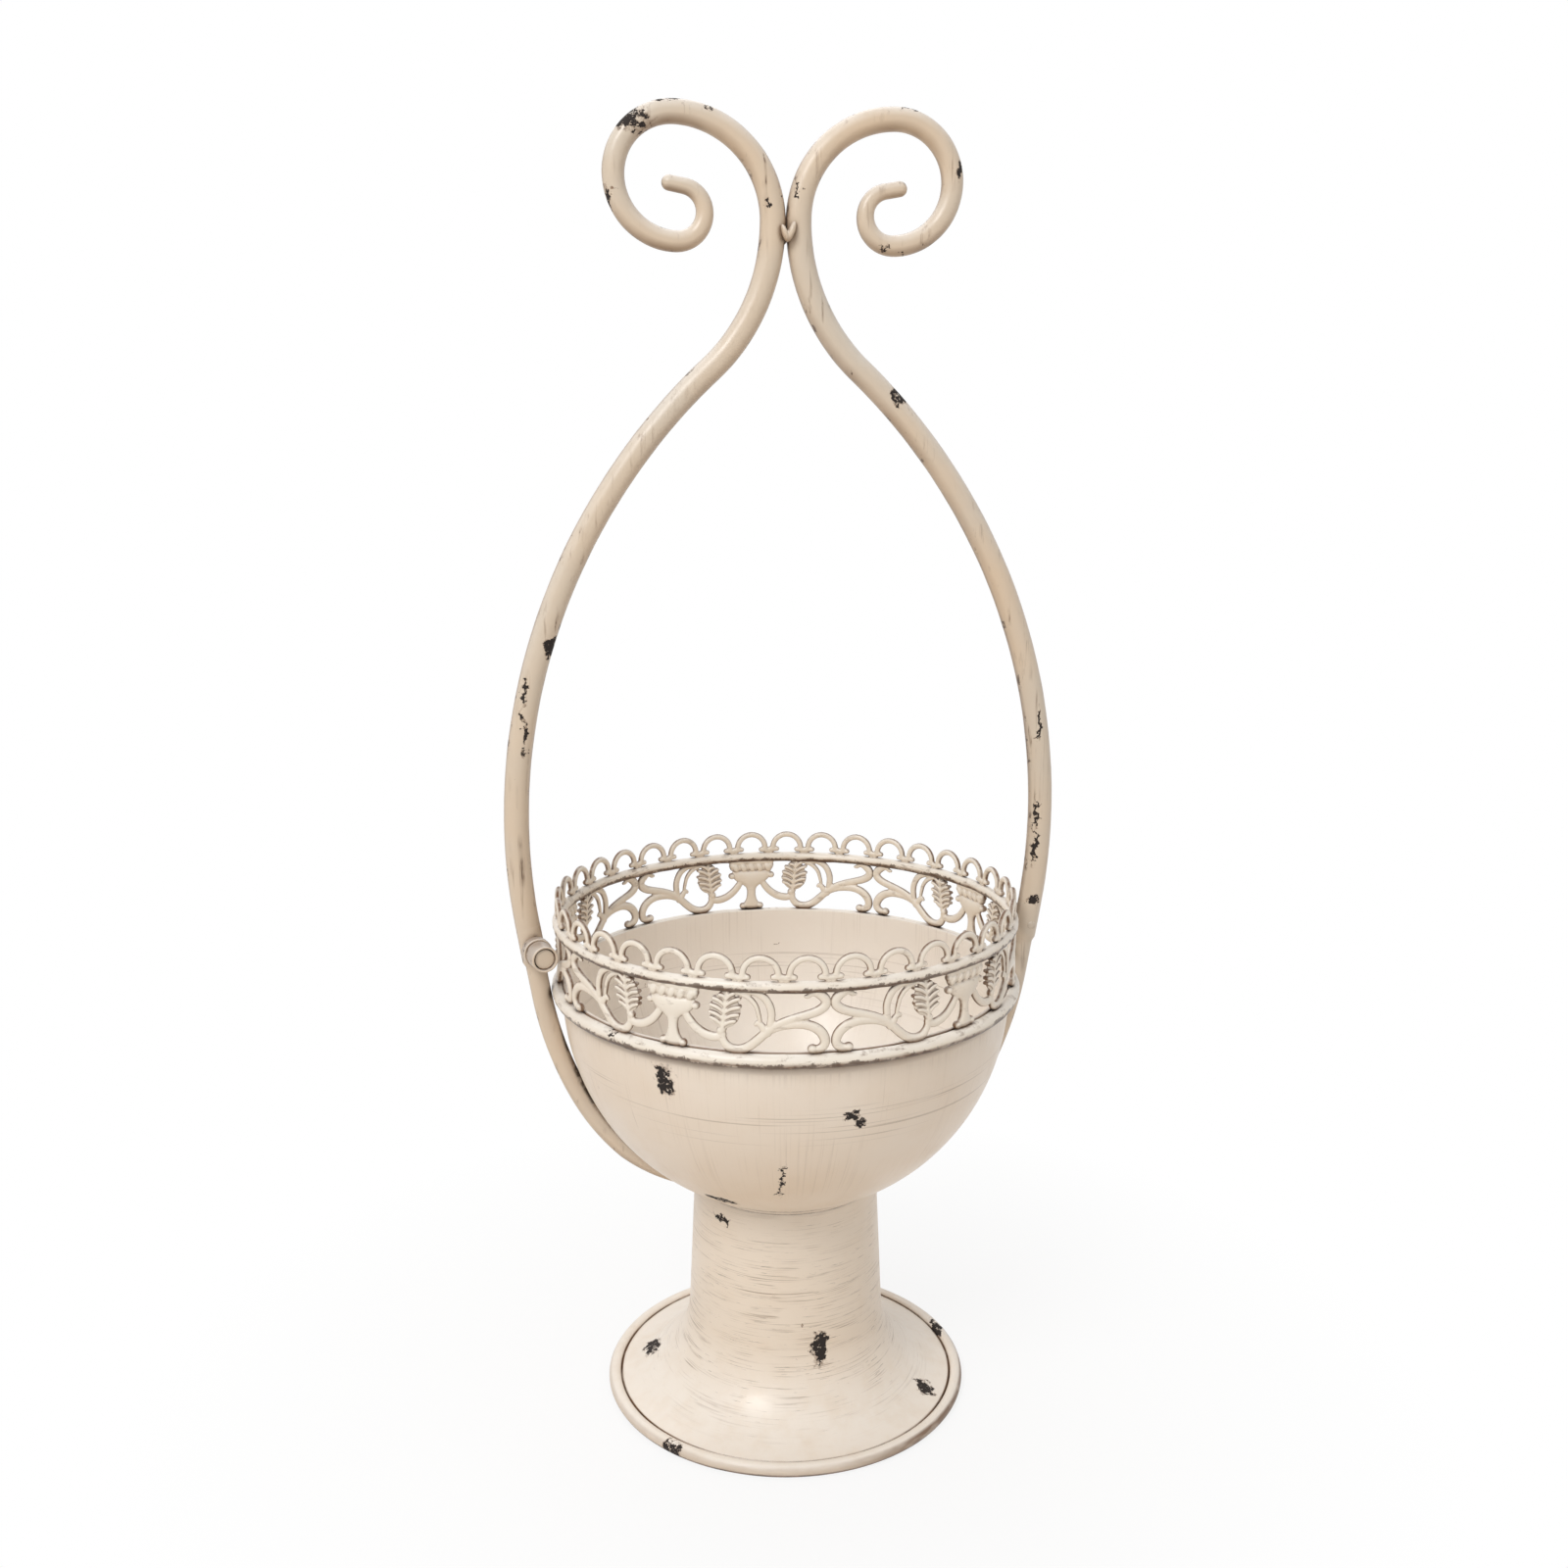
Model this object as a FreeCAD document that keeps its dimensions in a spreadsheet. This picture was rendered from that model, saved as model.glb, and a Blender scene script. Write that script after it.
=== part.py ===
import FreeCAD, Part

import math
import os

import Sketcher

# An urn planter of painted metal: a bowl on a hollow pedestal, an openwork
# gallery round the rim and a tall basket handle of two scrolled round bars.
# The origin is on the floor under the middle of the foot and +Z is up.
# The handle lies in the XZ plane, with its left half on the -X side.

Vector = FreeCAD.Vector
UP = Vector(0, 0, 1)
CENTRE = Vector(0, 0, 0)

doc = FreeCAD.newDocument("urn_planter")
sheet = doc.addObject("Spreadsheet::Sheet", "Sizes")

# Driving dimensions in millimetres, and two angles in degrees.
driving = {
    "bowl_radius": 118,
    "bowl_wall": 2.4,
    "bowl_centre_height": 228,
    "rim_upstand": 7,
    "neck_radius": 49.5,
    "neck_foot_radius": 53,
    "pedestal_wall": 2.2,
    "flare_top_height": 47,
    "foot_radius": 98.5,
    "foot_sheet_height": 5,
    "lip_bead": 7,
    "lip_flat": 0.3,
    "braze_size": 2.4,
    "lower_ring_bead": 7.2,
    "lower_ring_seat": 1.6,
    "gallery_height": 32,
    "gallery_thickness": 2.4,
    "top_ring_bead": 6,
    "top_ring_core": 2.4,
    "loop_stroke": 3.3,
    "loop_rise": 5,
    "vine_stroke": 4.4,
    "arch_stroke": 3.4,
    "scroll_stroke": 4.6,
    "bar_diameter": 12.7,
    "bar_scroll_diameter": 11,
    "bar_tip_diameter": 7.6,
    "joint_rise": 32,
    "widest_rise": 49,
    "arch_radius": 310,
    "throat_radius": 94,
    "crown_radius": 48,
    "scroll_outer_radius": 28.5,
    "scroll_inner_radius": 30,
    "curl_radius": 13.5,
    "curl_end_radius": 12,
    "curl_end_turn": 115,
    "weld_length": 11,
    "weld_diameter": 7,
    "strap_diameter": 10.4,
    "strap_tip_diameter": 6,
    "strap_tip_length": 38,
    "strap_tip_gap": 0.3,
    "hub_length": 20,
    "pin_drop": 12,
    "pin_turn": 14,
    "pin_diameter": 5,
    "collar_diameter": 15,
    "collar_length": 6,
    "barrel_diameter": 13.4,
    "barrel_length": 13,
    "barrel_recess": 1.2,
    "cap_diameter": 11,
}
for row, (alias, value) in enumerate(driving.items(), start=1):
    sheet.set(f"A{row}", alias.replace("_", " "))
    sheet.set(f"B{row}", str(value))
    sheet.setAlias(f"B{row}", alias)
doc.recompute()


def size(alias):
    """The value of one cell of the sheet."""
    return float(getattr(sheet, alias))


def bound(kind, name, **expressions):
    """A primitive whose properties follow the sheet."""
    thing = doc.addObject(kind, name)
    for prop, expression in expressions.items():
        thing.setExpression(prop.replace("__", "."), expression)
    return thing


def combine(kind, name, base, tool):
    """A cut or common of two objects."""
    thing = doc.addObject(kind, name)
    thing.Base = base
    thing.Tool = tool
    return thing


pieces = []


def piece(thing, label):
    thing.Label = label
    pieces.append(thing)
    return thing


def solid_piece(label, shape, spot=None):
    """A sub-part made straight from a shape."""
    thing = doc.addObject("Part::Feature", label)
    thing.Shape = shape
    if spot is not None:
        thing.Placement = spot
    return piece(thing, label)


# Sketches for the turned sub-parts: the sketch's X is the radius and its Y is
# the height. Each corner is bound to the sheet, and an arc leaves its straight
# neighbour smoothly.
def turned_body(name, corners, arcs, tangents):
    body = doc.addObject("PartDesign::Body", name)
    plane = [f for f in body.Origin.OriginFeatures if f.Role == "XZ_Plane"][0]
    sketch = body.newObject("Sketcher::SketchObject", name + "_profile")
    sketch.AttachmentSupport = [(plane, "")]
    sketch.MapMode = "FlatFace"
    count = len(corners)
    for i, (place, _) in enumerate(corners):
        end = corners[(i + 1) % count][0]
        start = Vector(*place, 0)
        stop = Vector(*end, 0)
        if i in arcs:
            sketch.addGeometry(arcs[i](start, stop), False)
        else:
            sketch.addGeometry(Part.LineSegment(start, stop), False)
    ends = [arc_ends(sketch.Geometry[i], corners[i][0]) for i in range(count)]
    for i in range(count):
        following = (i + 1) % count
        link = Sketcher.Constraint("Coincident", i, ends[i][1], following, ends[following][0])
        sketch.addConstraint(link)
    for i, (place, expressions) in enumerate(corners):
        for kind, value, expression in zip(("DistanceX", "DistanceY"), place, expressions):
            sketch.addConstraint(Sketcher.Constraint(kind, -1, 1, i, ends[i][0], value))
            sketch.setExpression(f"Constraints[{sketch.ConstraintCount - 1}]", expression)
    for line, arc in tangents:
        sketch.addConstraint(Sketcher.Constraint("Tangent", line, arc))
    turn = body.newObject("PartDesign::Revolution", name + "_turn")
    turn.Profile = sketch
    turn.ReferenceAxis = (sketch, ["V_Axis"])
    turn.Angle = 360
    body.Tip = turn
    return body


def arc_ends(shape, place):
    """The first and the last end of a sketch line: an arc can run backwards."""
    first, last = [
        math.hypot(end.x - place[0], end.y - place[1])
        for end in (shape.StartPoint, shape.EndPoint)
    ]
    return (1, 2) if first < last else (2, 1)


def rounded(bulge):
    """An arc between two corners, bulging to the right by a share of its chord."""

    def make(start, stop):
        chord = stop.sub(start)
        side = Vector(chord.y, -chord.x, 0)
        middle = start.add(stop).multiply(0.5).add(side.multiply(bulge))
        ends = (start, stop) if bulge > 0 else (stop, start)
        return Part.Arc(ends[0], middle, ends[1])

    return make


# Bowl: a hemisphere of sheet with a short straight upstand at its rim.
bowl_radius = size("bowl_radius")
bowl_wall = size("bowl_wall")
bowl_height = size("bowl_centre_height")
rim_height = bowl_height + size("rim_upstand")

ball = bound(
    "Part::Sphere",
    "bowl_ball",
    Radius="Sizes.bowl_radius",
    Placement__Base__z="Sizes.bowl_centre_height",
)
ball.Angle2 = 0
upstand = bound(
    "Part::Cylinder",
    "bowl_upstand",
    Radius="Sizes.bowl_radius",
    Height="Sizes.rim_upstand",
    Placement__Base__z="Sizes.bowl_centre_height",
)
bowl_outside = combine("Part::Fuse", "bowl_outside", ball, upstand)
hollow_ball = bound(
    "Part::Sphere",
    "bowl_hollow_ball",
    Radius="Sizes.bowl_radius - Sizes.bowl_wall",
    Placement__Base__z="Sizes.bowl_centre_height",
)
hollow_ball.Angle2 = 0
hollow_upstand = bound(
    "Part::Cylinder",
    "bowl_hollow_upstand",
    Radius="Sizes.bowl_radius - Sizes.bowl_wall",
    Height="Sizes.rim_upstand",
    Placement__Base__z="Sizes.bowl_centre_height",
)
bowl_inside = combine("Part::Fuse", "bowl_inside", hollow_ball, hollow_upstand)
piece(combine("Part::Cut", "bowl_shell", bowl_outside, bowl_inside), "bowl")

# Pedestal: a hollow spun neck that flares out to the foot. It has its stated radius
# at the seam, runs on in the same line and is cut to the bowl's own roundness.
neck = size("neck_radius")
neck_foot = size("neck_foot_radius")
wall = size("pedestal_wall")
flare_top = size("flare_top_height")
foot_top = size("foot_sheet_height")
foot_edge = size("foot_radius") - size("lip_bead")
neck_seam = bowl_height - math.sqrt(bowl_radius**2 - neck**2)
neck_top = bowl_height - bowl_radius + neck
neck_end = neck - (neck_top - neck_seam) * (neck_foot - neck) / (neck_seam - flare_top)
NECK_SEAM = "(Sizes.bowl_centre_height - sqrt(Sizes.bowl_radius ^ 2 - Sizes.neck_radius ^ 2))"
NECK_TOP = "(Sizes.bowl_centre_height - Sizes.bowl_radius + Sizes.neck_radius)"
NECK_TAPER = (
    f"({NECK_TOP} - {NECK_SEAM}) * (Sizes.neck_foot_radius - Sizes.neck_radius)"
    f" / ({NECK_SEAM} - Sizes.flare_top_height)"
)
NECK_END = f"Sizes.neck_radius - {NECK_TAPER}"
FOOT_EDGE = "Sizes.foot_radius - Sizes.lip_bead"
flare_bulge_share = 0.2
pedestal_body = turned_body(
    "pedestal_sheet",
    [
        ((neck_end, neck_top), (NECK_END, NECK_TOP)),
        ((neck_foot, flare_top), ("Sizes.neck_foot_radius", "Sizes.flare_top_height")),
        ((foot_edge, foot_top), (FOOT_EDGE, "Sizes.foot_sheet_height")),
        (
            (foot_edge, foot_top - wall),
            (FOOT_EDGE, "Sizes.foot_sheet_height - Sizes.pedestal_wall"),
        ),
        (
            (neck_foot - wall, flare_top),
            ("Sizes.neck_foot_radius - Sizes.pedestal_wall", "Sizes.flare_top_height"),
        ),
        ((neck_end - wall, neck_top), (NECK_END + " - Sizes.pedestal_wall", NECK_TOP)),
    ],
    {1: rounded(flare_bulge_share), 3: rounded(-flare_bulge_share)},
    [(0, 1), (4, 3)],
)
seat_ball = bound(
    "Part::Sphere",
    "bowl_seat",
    Radius="Sizes.bowl_radius",
    Placement__Base__z="Sizes.bowl_centre_height",
)
piece(combine("Part::Cut", "pedestal_seated", pedestal_body, seat_ball), "pedestal")

# Foot lip: the rolled edge that the planter stands on, with a narrow flat below.
lip_roll = bound(
    "Part::Torus",
    "lip_roll",
    Radius1="Sizes.foot_radius - Sizes.lip_bead / 2",
    Radius2="Sizes.lip_bead / 2",
    Placement__Base__z="Sizes.lip_bead / 2 - Sizes.lip_flat",
)
floor_block = bound(
    "Part::Cylinder",
    "floor_block",
    Radius="Sizes.foot_radius",
    Height="Sizes.lip_bead",
    Placement__Base__z="-Sizes.lip_bead",
)
piece(combine("Part::Cut", "lip_on_floor", lip_roll, floor_block), "foot_lip")

# Braze: the small fillet that joins the neck to the bowl.
braze_roll = bound(
    "Part::Torus",
    "braze_roll",
    Radius1="Sizes.neck_radius",
    Radius2="Sizes.braze_size / 2",
    Placement__Base__z=NECK_SEAM,
)
neck_block = bound(
    "Part::Cone",
    "neck_block",
    Radius1="Sizes.neck_foot_radius",
    Radius2=NECK_END,
    Height=NECK_TOP + " - Sizes.flare_top_height",
    Placement__Base__z="Sizes.flare_top_height",
)
braze_seat = combine("Part::Cut", "braze_under_bowl", braze_roll, seat_ball)
piece(combine("Part::Cut", "braze_round_neck", braze_seat, neck_block), "neck_braze")

# Lower ring: the thick bead round the bowl's outside, level with its rim and
# flat where it is seated on the sheet.
ring_bead = size("lower_ring_bead")
ring_height = rim_height - ring_bead / 2
RIM_HEIGHT = "Sizes.bowl_centre_height + Sizes.rim_upstand"
lower_roll = bound(
    "Part::Torus",
    "lower_ring_roll",
    Radius1="Sizes.bowl_radius + Sizes.lower_ring_bead / 2 - Sizes.lower_ring_seat",
    Radius2="Sizes.lower_ring_bead / 2",
    Placement__Base__z=RIM_HEIGHT + " - Sizes.lower_ring_bead / 2",
)
piece(combine("Part::Cut", "lower_ring_seated", lower_roll, upstand), "lower_ring")

# Top ring: a round rail, slotted below for the gallery's panels and above for its
# scalloped crest.
TOP_RING_HEIGHT = RIM_HEIGHT + " + Sizes.gallery_height"


def rail_slot(name, bottom):
    """A ring as thick as the gallery's wall, to cut a slot in the rail."""
    drums = [
        bound(
            "Part::Cylinder",
            f"{name}_{side}",
            Radius=radius,
            Height="Sizes.top_ring_bead",
            Placement__Base__z=bottom,
        )
        for side, radius in (
            ("outer", "Sizes.bowl_radius + Sizes.gallery_thickness"),
            ("inner", "Sizes.bowl_radius"),
        )
    ]
    return combine("Part::Cut", name, *drums)


rail = bound(
    "Part::Torus",
    "rail",
    Radius1="Sizes.bowl_radius + Sizes.gallery_thickness / 2",
    Radius2="Sizes.top_ring_bead / 2",
    Placement__Base__z=TOP_RING_HEIGHT,
)
CORE_TOP = TOP_RING_HEIGHT + " + Sizes.top_ring_core / 2"
UNDER_CORE = TOP_RING_HEIGHT + " - Sizes.top_ring_core / 2 - Sizes.top_ring_bead"
rail = combine("Part::Cut", "rail_with_crest_slot", rail, rail_slot("crest_slot", CORE_TOP))
rail = combine("Part::Cut", "rail_with_slots", rail, rail_slot("panel_slot", UNDER_CORE))
piece(rail, "top_ring")

# Gallery: five openwork panels of one pattern, mirrored about the urn in the
# middle of each. Places are shares of half a panel's length along the rim and of
# the height from the rim to the top ring. One panel faces straight back, so two
# of them meet in the middle of the front. They stand on the lower ring, round
# the outside of the rim.
PANELS = 5
LOOPS = 7
first_panel_turn = 90
gallery_inner = bowl_radius
gallery_outer = gallery_inner + size("gallery_thickness")
gallery_middle = (gallery_outer + gallery_inner) / 2
gallery_height = size("gallery_height")
half_panel_turn = math.pi / PANELS
half_panel_length = gallery_middle * half_panel_turn

cap_half_width_share = 0.168
cap_bottom_share = 0.80
lobe_places_shares = (-0.14, -0.07, 0, 0.07, 0.14)
lobe_height_share = 0.775
lobe_radius_share = 0.037
cup_shares = (
    (0.155, 0.72),
    (0.165, 0.62),
    (0.118, 0.53),
    (0.062, 0.49),
    (0.036, 0.36),
    (0.050, 0.18),
    (0.080, 0.10),
    (0.092, 0),
)
cup_middle_shares = ((0.150, 0.56), (0.040, 0.42), (0.038, 0.26), (0.090, 0.06))
cup_dip_share = 0.70
vine_shares = (
    ((0.100, 0.47), (0.165, 0.30), (0.260, 0.215)),
    ((0.260, 0.215), (0.300, 0.210), (0.335, 0.240)),
    ((0.335, 0.240), (0.352, 0.100), (0.420, 0.040)),
    ((0.420, 0.040), (0.490, 0.070), (0.545, 0.190)),
    ((0.545, 0.190), (0.640, 0.400), (0.780, 0.560)),
    ((0.780, 0.560), (0.870, 0.625), (0.955, 0.730)),
)
leaf_shares = ((0.340, 0.23), (0.480, 0.64), (0.395, 0.95), (0.275, 0.58))
curved_arch_shares = (((0.440, 0.930), (0.575, 0.850), (0.632, 0.420)),)
bud_share = (0.575, 0.34)
bud_radius_share = 0.024
horn_shares = (((0.905, 1.000), (0.935, 0.850), (0.985, 0.760)),)
scroll_shares = (
    ((0.745, 0.450), (0.850, 0.465), (0.925, 0.330)),
    ((0.925, 0.330), (0.965, 0.200), (0.966, 0.030)),
)
foot_flick_shares = (((0.960, 0.060), (0.910, 0.035), (0.865, 0.020)),)
group_shares = {"urn": 0, "vine": 0.5, "knot": 1}
border_share = 0.2


def panel_point(place, group):
    """A place of the pattern, on the flat that touches the gallery in the middle of its group."""
    turn = (place[0] - group_shares[group]) * half_panel_turn
    return Vector(0, gallery_middle * math.sin(turn), place[1] * gallery_height)


def raised(face, group):
    """A flat outline of one group as a block through the gallery's wall."""
    depth = gallery_outer - gallery_inner * math.cos(half_panel_turn / 2)
    face.translate(Vector(gallery_inner * math.cos(half_panel_turn / 2) - depth, 0, rim_height))
    block = face.extrude(Vector(3 * depth, 0, 0))
    block.rotate(CENTRE, UP, math.degrees(group_shares[group] * half_panel_turn))
    return block


def stroke(arcs, width, group):
    """A bar of even width along arcs, each through three places."""
    edges = [Part.Arc(*[panel_point(p, group) for p in arc]).toShape() for arc in arcs]
    outline = Part.Wire(edges).makeOffset2D(width / 2, 0, False, False)
    return raised(Part.Face(outline), group)


def disc(place, radius, group):
    circle = Part.Circle(panel_point(place, group), Vector(1, 0, 0), radius)
    return raised(Part.Face(Part.Wire([circle.toShape()])), group)


def urn_blocks():
    """The urn under each middle loop: cap with lobes, cup, stem and foot."""
    corners = [panel_point(p, "urn") for p in cup_shares]
    middles = [panel_point(p, "urn") for p in cup_middle_shares]
    right = [
        Part.LineSegment(corners[0], corners[1]),
        Part.Arc(corners[1], middles[0], corners[2]),
        Part.LineSegment(corners[2], corners[3]),
        Part.Arc(corners[3], middles[1], corners[4]),
        Part.Arc(corners[4], middles[2], corners[5]),
        Part.LineSegment(corners[5], corners[6]),
        Part.Arc(corners[6], middles[3], corners[7]),
    ]
    edges = [curve.toShape() for curve in right]
    mirrored = [edge.mirror(CENTRE, Vector(0, 1, 0)) for edge in edges]
    foot = Part.makeLine(corners[7], Vector(0, -corners[7].y, corners[7].z))
    dip = panel_point((0, cup_dip_share), "urn")
    brim = Part.Arc(corners[0], dip, Vector(0, -corners[0].y, corners[0].z)).toShape()
    wire = Part.Wire(Part.__sortEdges__(edges + mirrored + [foot, brim]))
    blocks = [raised(Part.Face(wire), "urn")]
    low = panel_point((-cap_half_width_share, cap_bottom_share), "urn")
    high = panel_point((cap_half_width_share, 1), "urn")
    cap = Part.makePolygon(
        [low, Vector(0, high.y, low.z), high, Vector(0, low.y, high.z), low]
    )
    blocks.append(raised(Part.Face(cap), "urn"))
    radius = lobe_radius_share * half_panel_length
    for across in lobe_places_shares:
        blocks.append(disc((across, lobe_height_share), radius, "urn"))
    return blocks


def half_blocks():
    """One half of the pattern: vine, leaf, arch, bud and half of the crossed knot."""
    base, right, tip, left = [panel_point(p, "vine") for p in leaf_shares]
    sides = [Part.Arc(base, right, tip).toShape(), Part.Arc(tip, left, base).toShape()]
    vine = size("vine_stroke")
    scroll = size("scroll_stroke")
    return [
        raised(Part.Face(Part.Wire(sides)), "vine"),
        stroke(vine_shares, vine, "vine"),
        stroke(curved_arch_shares, size("arch_stroke"), "vine"),
        disc(bud_share, bud_radius_share * half_panel_length, "vine"),
        stroke(horn_shares, vine, "knot"),
        stroke(scroll_shares, scroll, "knot"),
        stroke(foot_flick_shares, size("arch_stroke") / 2, "knot"),
    ]


def drum(radius, low, high):
    return Part.makeCylinder(radius, high - low, Vector(0, 0, low))


def sector(low, high):
    """A panel's share of the gallery's wall between two heights."""
    reach = 2 * gallery_outer
    edge = Vector(reach * math.cos(half_panel_turn), reach * math.sin(half_panel_turn), low)
    other = Vector(edge.x, -edge.y, low)
    corner = Vector(0, 0, low)
    wedge = Part.Face(Part.makePolygon([corner, other, edge, corner]))
    wedge = wedge.extrude(Vector(0, 0, high - low))
    wall_ring = drum(gallery_outer, low, high).cut(drum(gallery_inner, low, high))
    return wall_ring.common(wedge)


def gallery_panel():
    """The openwork of a panel facing +X, as one solid with a border in the rail."""
    top = rim_height + gallery_height - size("top_ring_core") / 2
    border = border_share * size("top_ring_bead")
    blocks = urn_blocks()
    for block in half_blocks():
        blocks.append(block)
        blocks.append(block.mirror(CENTRE, Vector(0, 1, 0)))
    wall = sector(rim_height, top)
    openwork = [block.common(wall) for block in blocks]
    return sector(top - border, top).multiFuse(openwork).removeSplitter()


def gallery_crest():
    """The row of open loops over a panel facing +X, as one solid."""
    bottom = rim_height + gallery_height + size("top_ring_core") / 2
    border = border_share * size("top_ring_bead")
    middle = rim_height + gallery_height + size("loop_rise")
    outer = half_panel_length / LOOPS
    inner = outer - size("loop_stroke")
    depth = gallery_outer - gallery_inner
    heads_wall = sector(middle, middle + 2 * outer)
    above_border = drum(2 * gallery_outer, bottom + border, middle + 2 * outer)
    heads = []
    holes = []
    for i in range(LOOPS):
        turn = (i - (LOOPS - 1) / 2) * 2 * half_panel_turn / LOOPS
        along = Vector(math.cos(turn), math.sin(turn), 0)
        start = along * (gallery_inner - depth) + UP * middle
        head = Part.makeCylinder(outer, 3 * depth, start, along)
        heads.append(head.common(heads_wall))
        hole = Part.makeCylinder(inner, 3 * depth, start, along)
        holes.append(hole.common(above_border))
    return sector(bottom, middle).fuse(heads).cut(holes).removeSplitter()


panel_shape = gallery_panel()
crest_shape = gallery_crest()
for i in range(PANELS):
    turn = FreeCAD.Rotation(UP, first_panel_turn + i * 360 / PANELS)
    spot = FreeCAD.Placement(CENTRE, turn)
    solid_piece(f"gallery_panel_{i + 1}", panel_shape, spot)
    solid_piece(f"gallery_crest_{i + 1}", crest_shape, spot)


# Handle, straps and joints are drawn on the right (+X) side, in the XZ plane.
# The left ones are the same pieces turned by half a turn.
def flat(radius, height):
    return Vector(radius, 0, height)


def heading(turn):
    """A unit direction in the XZ plane, by its angle from +X towards +Z."""
    return flat(math.cos(turn), math.sin(turn))


def section(place, direction, diameter):
    circle = Part.Circle(place, direction, diameter / 2)
    return Part.Wire([circle.toShape()])


def even_bar(centre, radius, start, stop, diameter):
    """A round bar of one thickness along an arc in the XZ plane."""
    low, high = sorted((math.degrees(start), math.degrees(stop)))
    ring = Part.makeTorus(radius, diameter / 2, CENTRE, UP, -180, 180, high - low)
    ring.rotate(CENTRE, Vector(1, 0, 0), 90)
    ring.rotate(CENTRE, Vector(0, -1, 0), low)
    ring.translate(centre)
    return ring


def tapered_bar(centre, radius, start, stop, thick, thin):
    """A round bar along one arc, from one thickness to another."""
    steps = max(2, math.ceil(abs(stop - start) / (math.pi / 6)))
    wires = []
    for i in range(steps + 1):
        part = i / steps
        turn = start + (stop - start) * part
        spot = centre + heading(turn) * radius
        along = heading(turn + math.copysign(math.pi / 2, stop - start))
        wires.append(section(spot, along, thick + (thin - thick) * part))
    return Part.makeLoft(wires, True, False)


bar = size("bar_diameter")
strap = size("strap_diameter")
joint_height = rim_height + size("joint_rise")
arch = size("arch_radius")
lean = math.asin(size("widest_rise") / arch)

# The strap crosses the lower ring, touching it, and leans like the foot of the handle.
ring_centre = flat(bowl_radius + ring_bead / 2 - size("lower_ring_seat"), ring_height)
down = heading(-math.pi / 2 - lean)
outward = heading(-lean)
contact = ring_centre + outward * ((ring_bead + strap) / 2)
joint = contact - down * ((joint_height - contact.z) / math.cos(lean))

# Below the ring it curves in until it lies on the bowl, follows it down and thins
# to a tip beside the neck, still lying on the bowl.
bowl_centre = flat(0, bowl_height)
reach = contact - bowl_centre
follow = bowl_radius + strap / 2
approach = (reach.dot(reach) - follow**2) / (2 * (reach.dot(outward) - follow))
approach_centre = contact - outward * approach
meeting = bowl_centre - approach_centre
meeting_turn = math.atan2(meeting.z, meeting.x)
strap_tip = size("strap_tip_diameter")
tip_length = size("strap_tip_length")
tip_bend = 1 / follow + (strap - strap_tip) / tip_length**2
tip_radius = 1 / tip_bend
tip_sweep = tip_length / tip_radius
tip_reach = flat(follow - tip_radius, 0) + heading(-tip_sweep) * tip_radius
tip_place = neck + (size("braze_size") + strap_tip) / 2 + size("strap_tip_gap")
thinning_turn = -math.acos(tip_place / tip_reach.Length) - math.atan2(tip_reach.z, tip_reach.x)
tip_centre = bowl_centre + heading(thinning_turn) * (follow - tip_radius)
tip_turn = thinning_turn - tip_sweep
tip = tip_centre + heading(tip_turn) * tip_radius


def strap_shape():
    straight = Part.makeCylinder(strap / 2, (contact - joint).Length, joint, down)
    bend = even_bar(approach_centre, approach, -lean, meeting_turn, strap)
    hug = even_bar(bowl_centre, follow, meeting_turn, thinning_turn, strap)
    thin = tapered_bar(tip_centre, tip_radius, thinning_turn, tip_turn, strap, strap_tip)
    nose = Part.makeSphere(strap_tip / 2, tip)
    hub = Part.makeCylinder(bar / 2, size("hub_length"), joint, down)
    return hub.fuse([straight, bend, hug, thin, nose]).removeSplitter()


# The handle bar: arch, throat against the other bar, crown, scroll and curl.
arch_centre = joint - outward * arch
throat = size("throat_radius")
crown = size("crown_radius")
throat_x = bar / 2 + throat
rise = math.sqrt((arch + throat) ** 2 - (throat_x - arch_centre.x) ** 2)
throat_centre = flat(throat_x, arch_centre.z + rise)
turn_over = math.atan2(rise, throat_x - arch_centre.x)
crown_centre = flat(bar / 2 + crown, throat_centre.z)
outer_centre = crown_centre + UP * (crown - size("scroll_outer_radius"))
inner_centre = outer_centre + heading(0) * (
    size("scroll_outer_radius") - size("scroll_inner_radius")
)
curl_centre = inner_centre - UP * (size("scroll_inner_radius") - size("curl_radius"))
end_centre = curl_centre - heading(0) * (size("curl_radius") - size("curl_end_radius"))
end_turn = math.radians(size("curl_end_turn"))


def bar_shape():
    quarter = math.pi / 2
    middle = size("bar_scroll_diameter")
    last = size("bar_tip_diameter")
    rising = even_bar(arch_centre, arch, -lean, turn_over, bar)
    closing = even_bar(throat_centre, throat, turn_over + math.pi, math.pi, bar)
    quarters = (
        (crown_centre, crown, math.pi, quarter),
        (outer_centre, size("scroll_outer_radius"), quarter, 0),
        (inner_centre, size("scroll_inner_radius"), 0, -quarter),
        (curl_centre, size("curl_radius"), -quarter, -math.pi),
        (end_centre, size("curl_end_radius"), math.pi, math.pi - end_turn),
    )
    lengths = [radius * abs(stop - start) for _, radius, start, stop in quarters]
    wide = sum(lengths[:3])
    narrow = sum(lengths[3:])
    run = 0
    runs = [rising, closing]
    thick = bar
    for (centre, radius, start, stop), length in zip(quarters, lengths):
        run += length
        if run <= wide:
            thin = bar + (middle - bar) * run / wide
        else:
            thin = middle + (last - middle) * (run - wide) / narrow
        runs.append(tapered_bar(centre, radius, start, stop, thick, thin))
        thick = thin
    nose_place = end_centre + heading(math.pi - end_turn) * size("curl_end_radius")
    runs.append(Part.makeSphere(last / 2, nose_place))
    return runs[0].fuse(runs[1:]).removeSplitter()


half_turn = FreeCAD.Placement(CENTRE, FreeCAD.Rotation(UP, 180))
strap_solid = strap_shape()
bar_solid = bar_shape()

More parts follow.
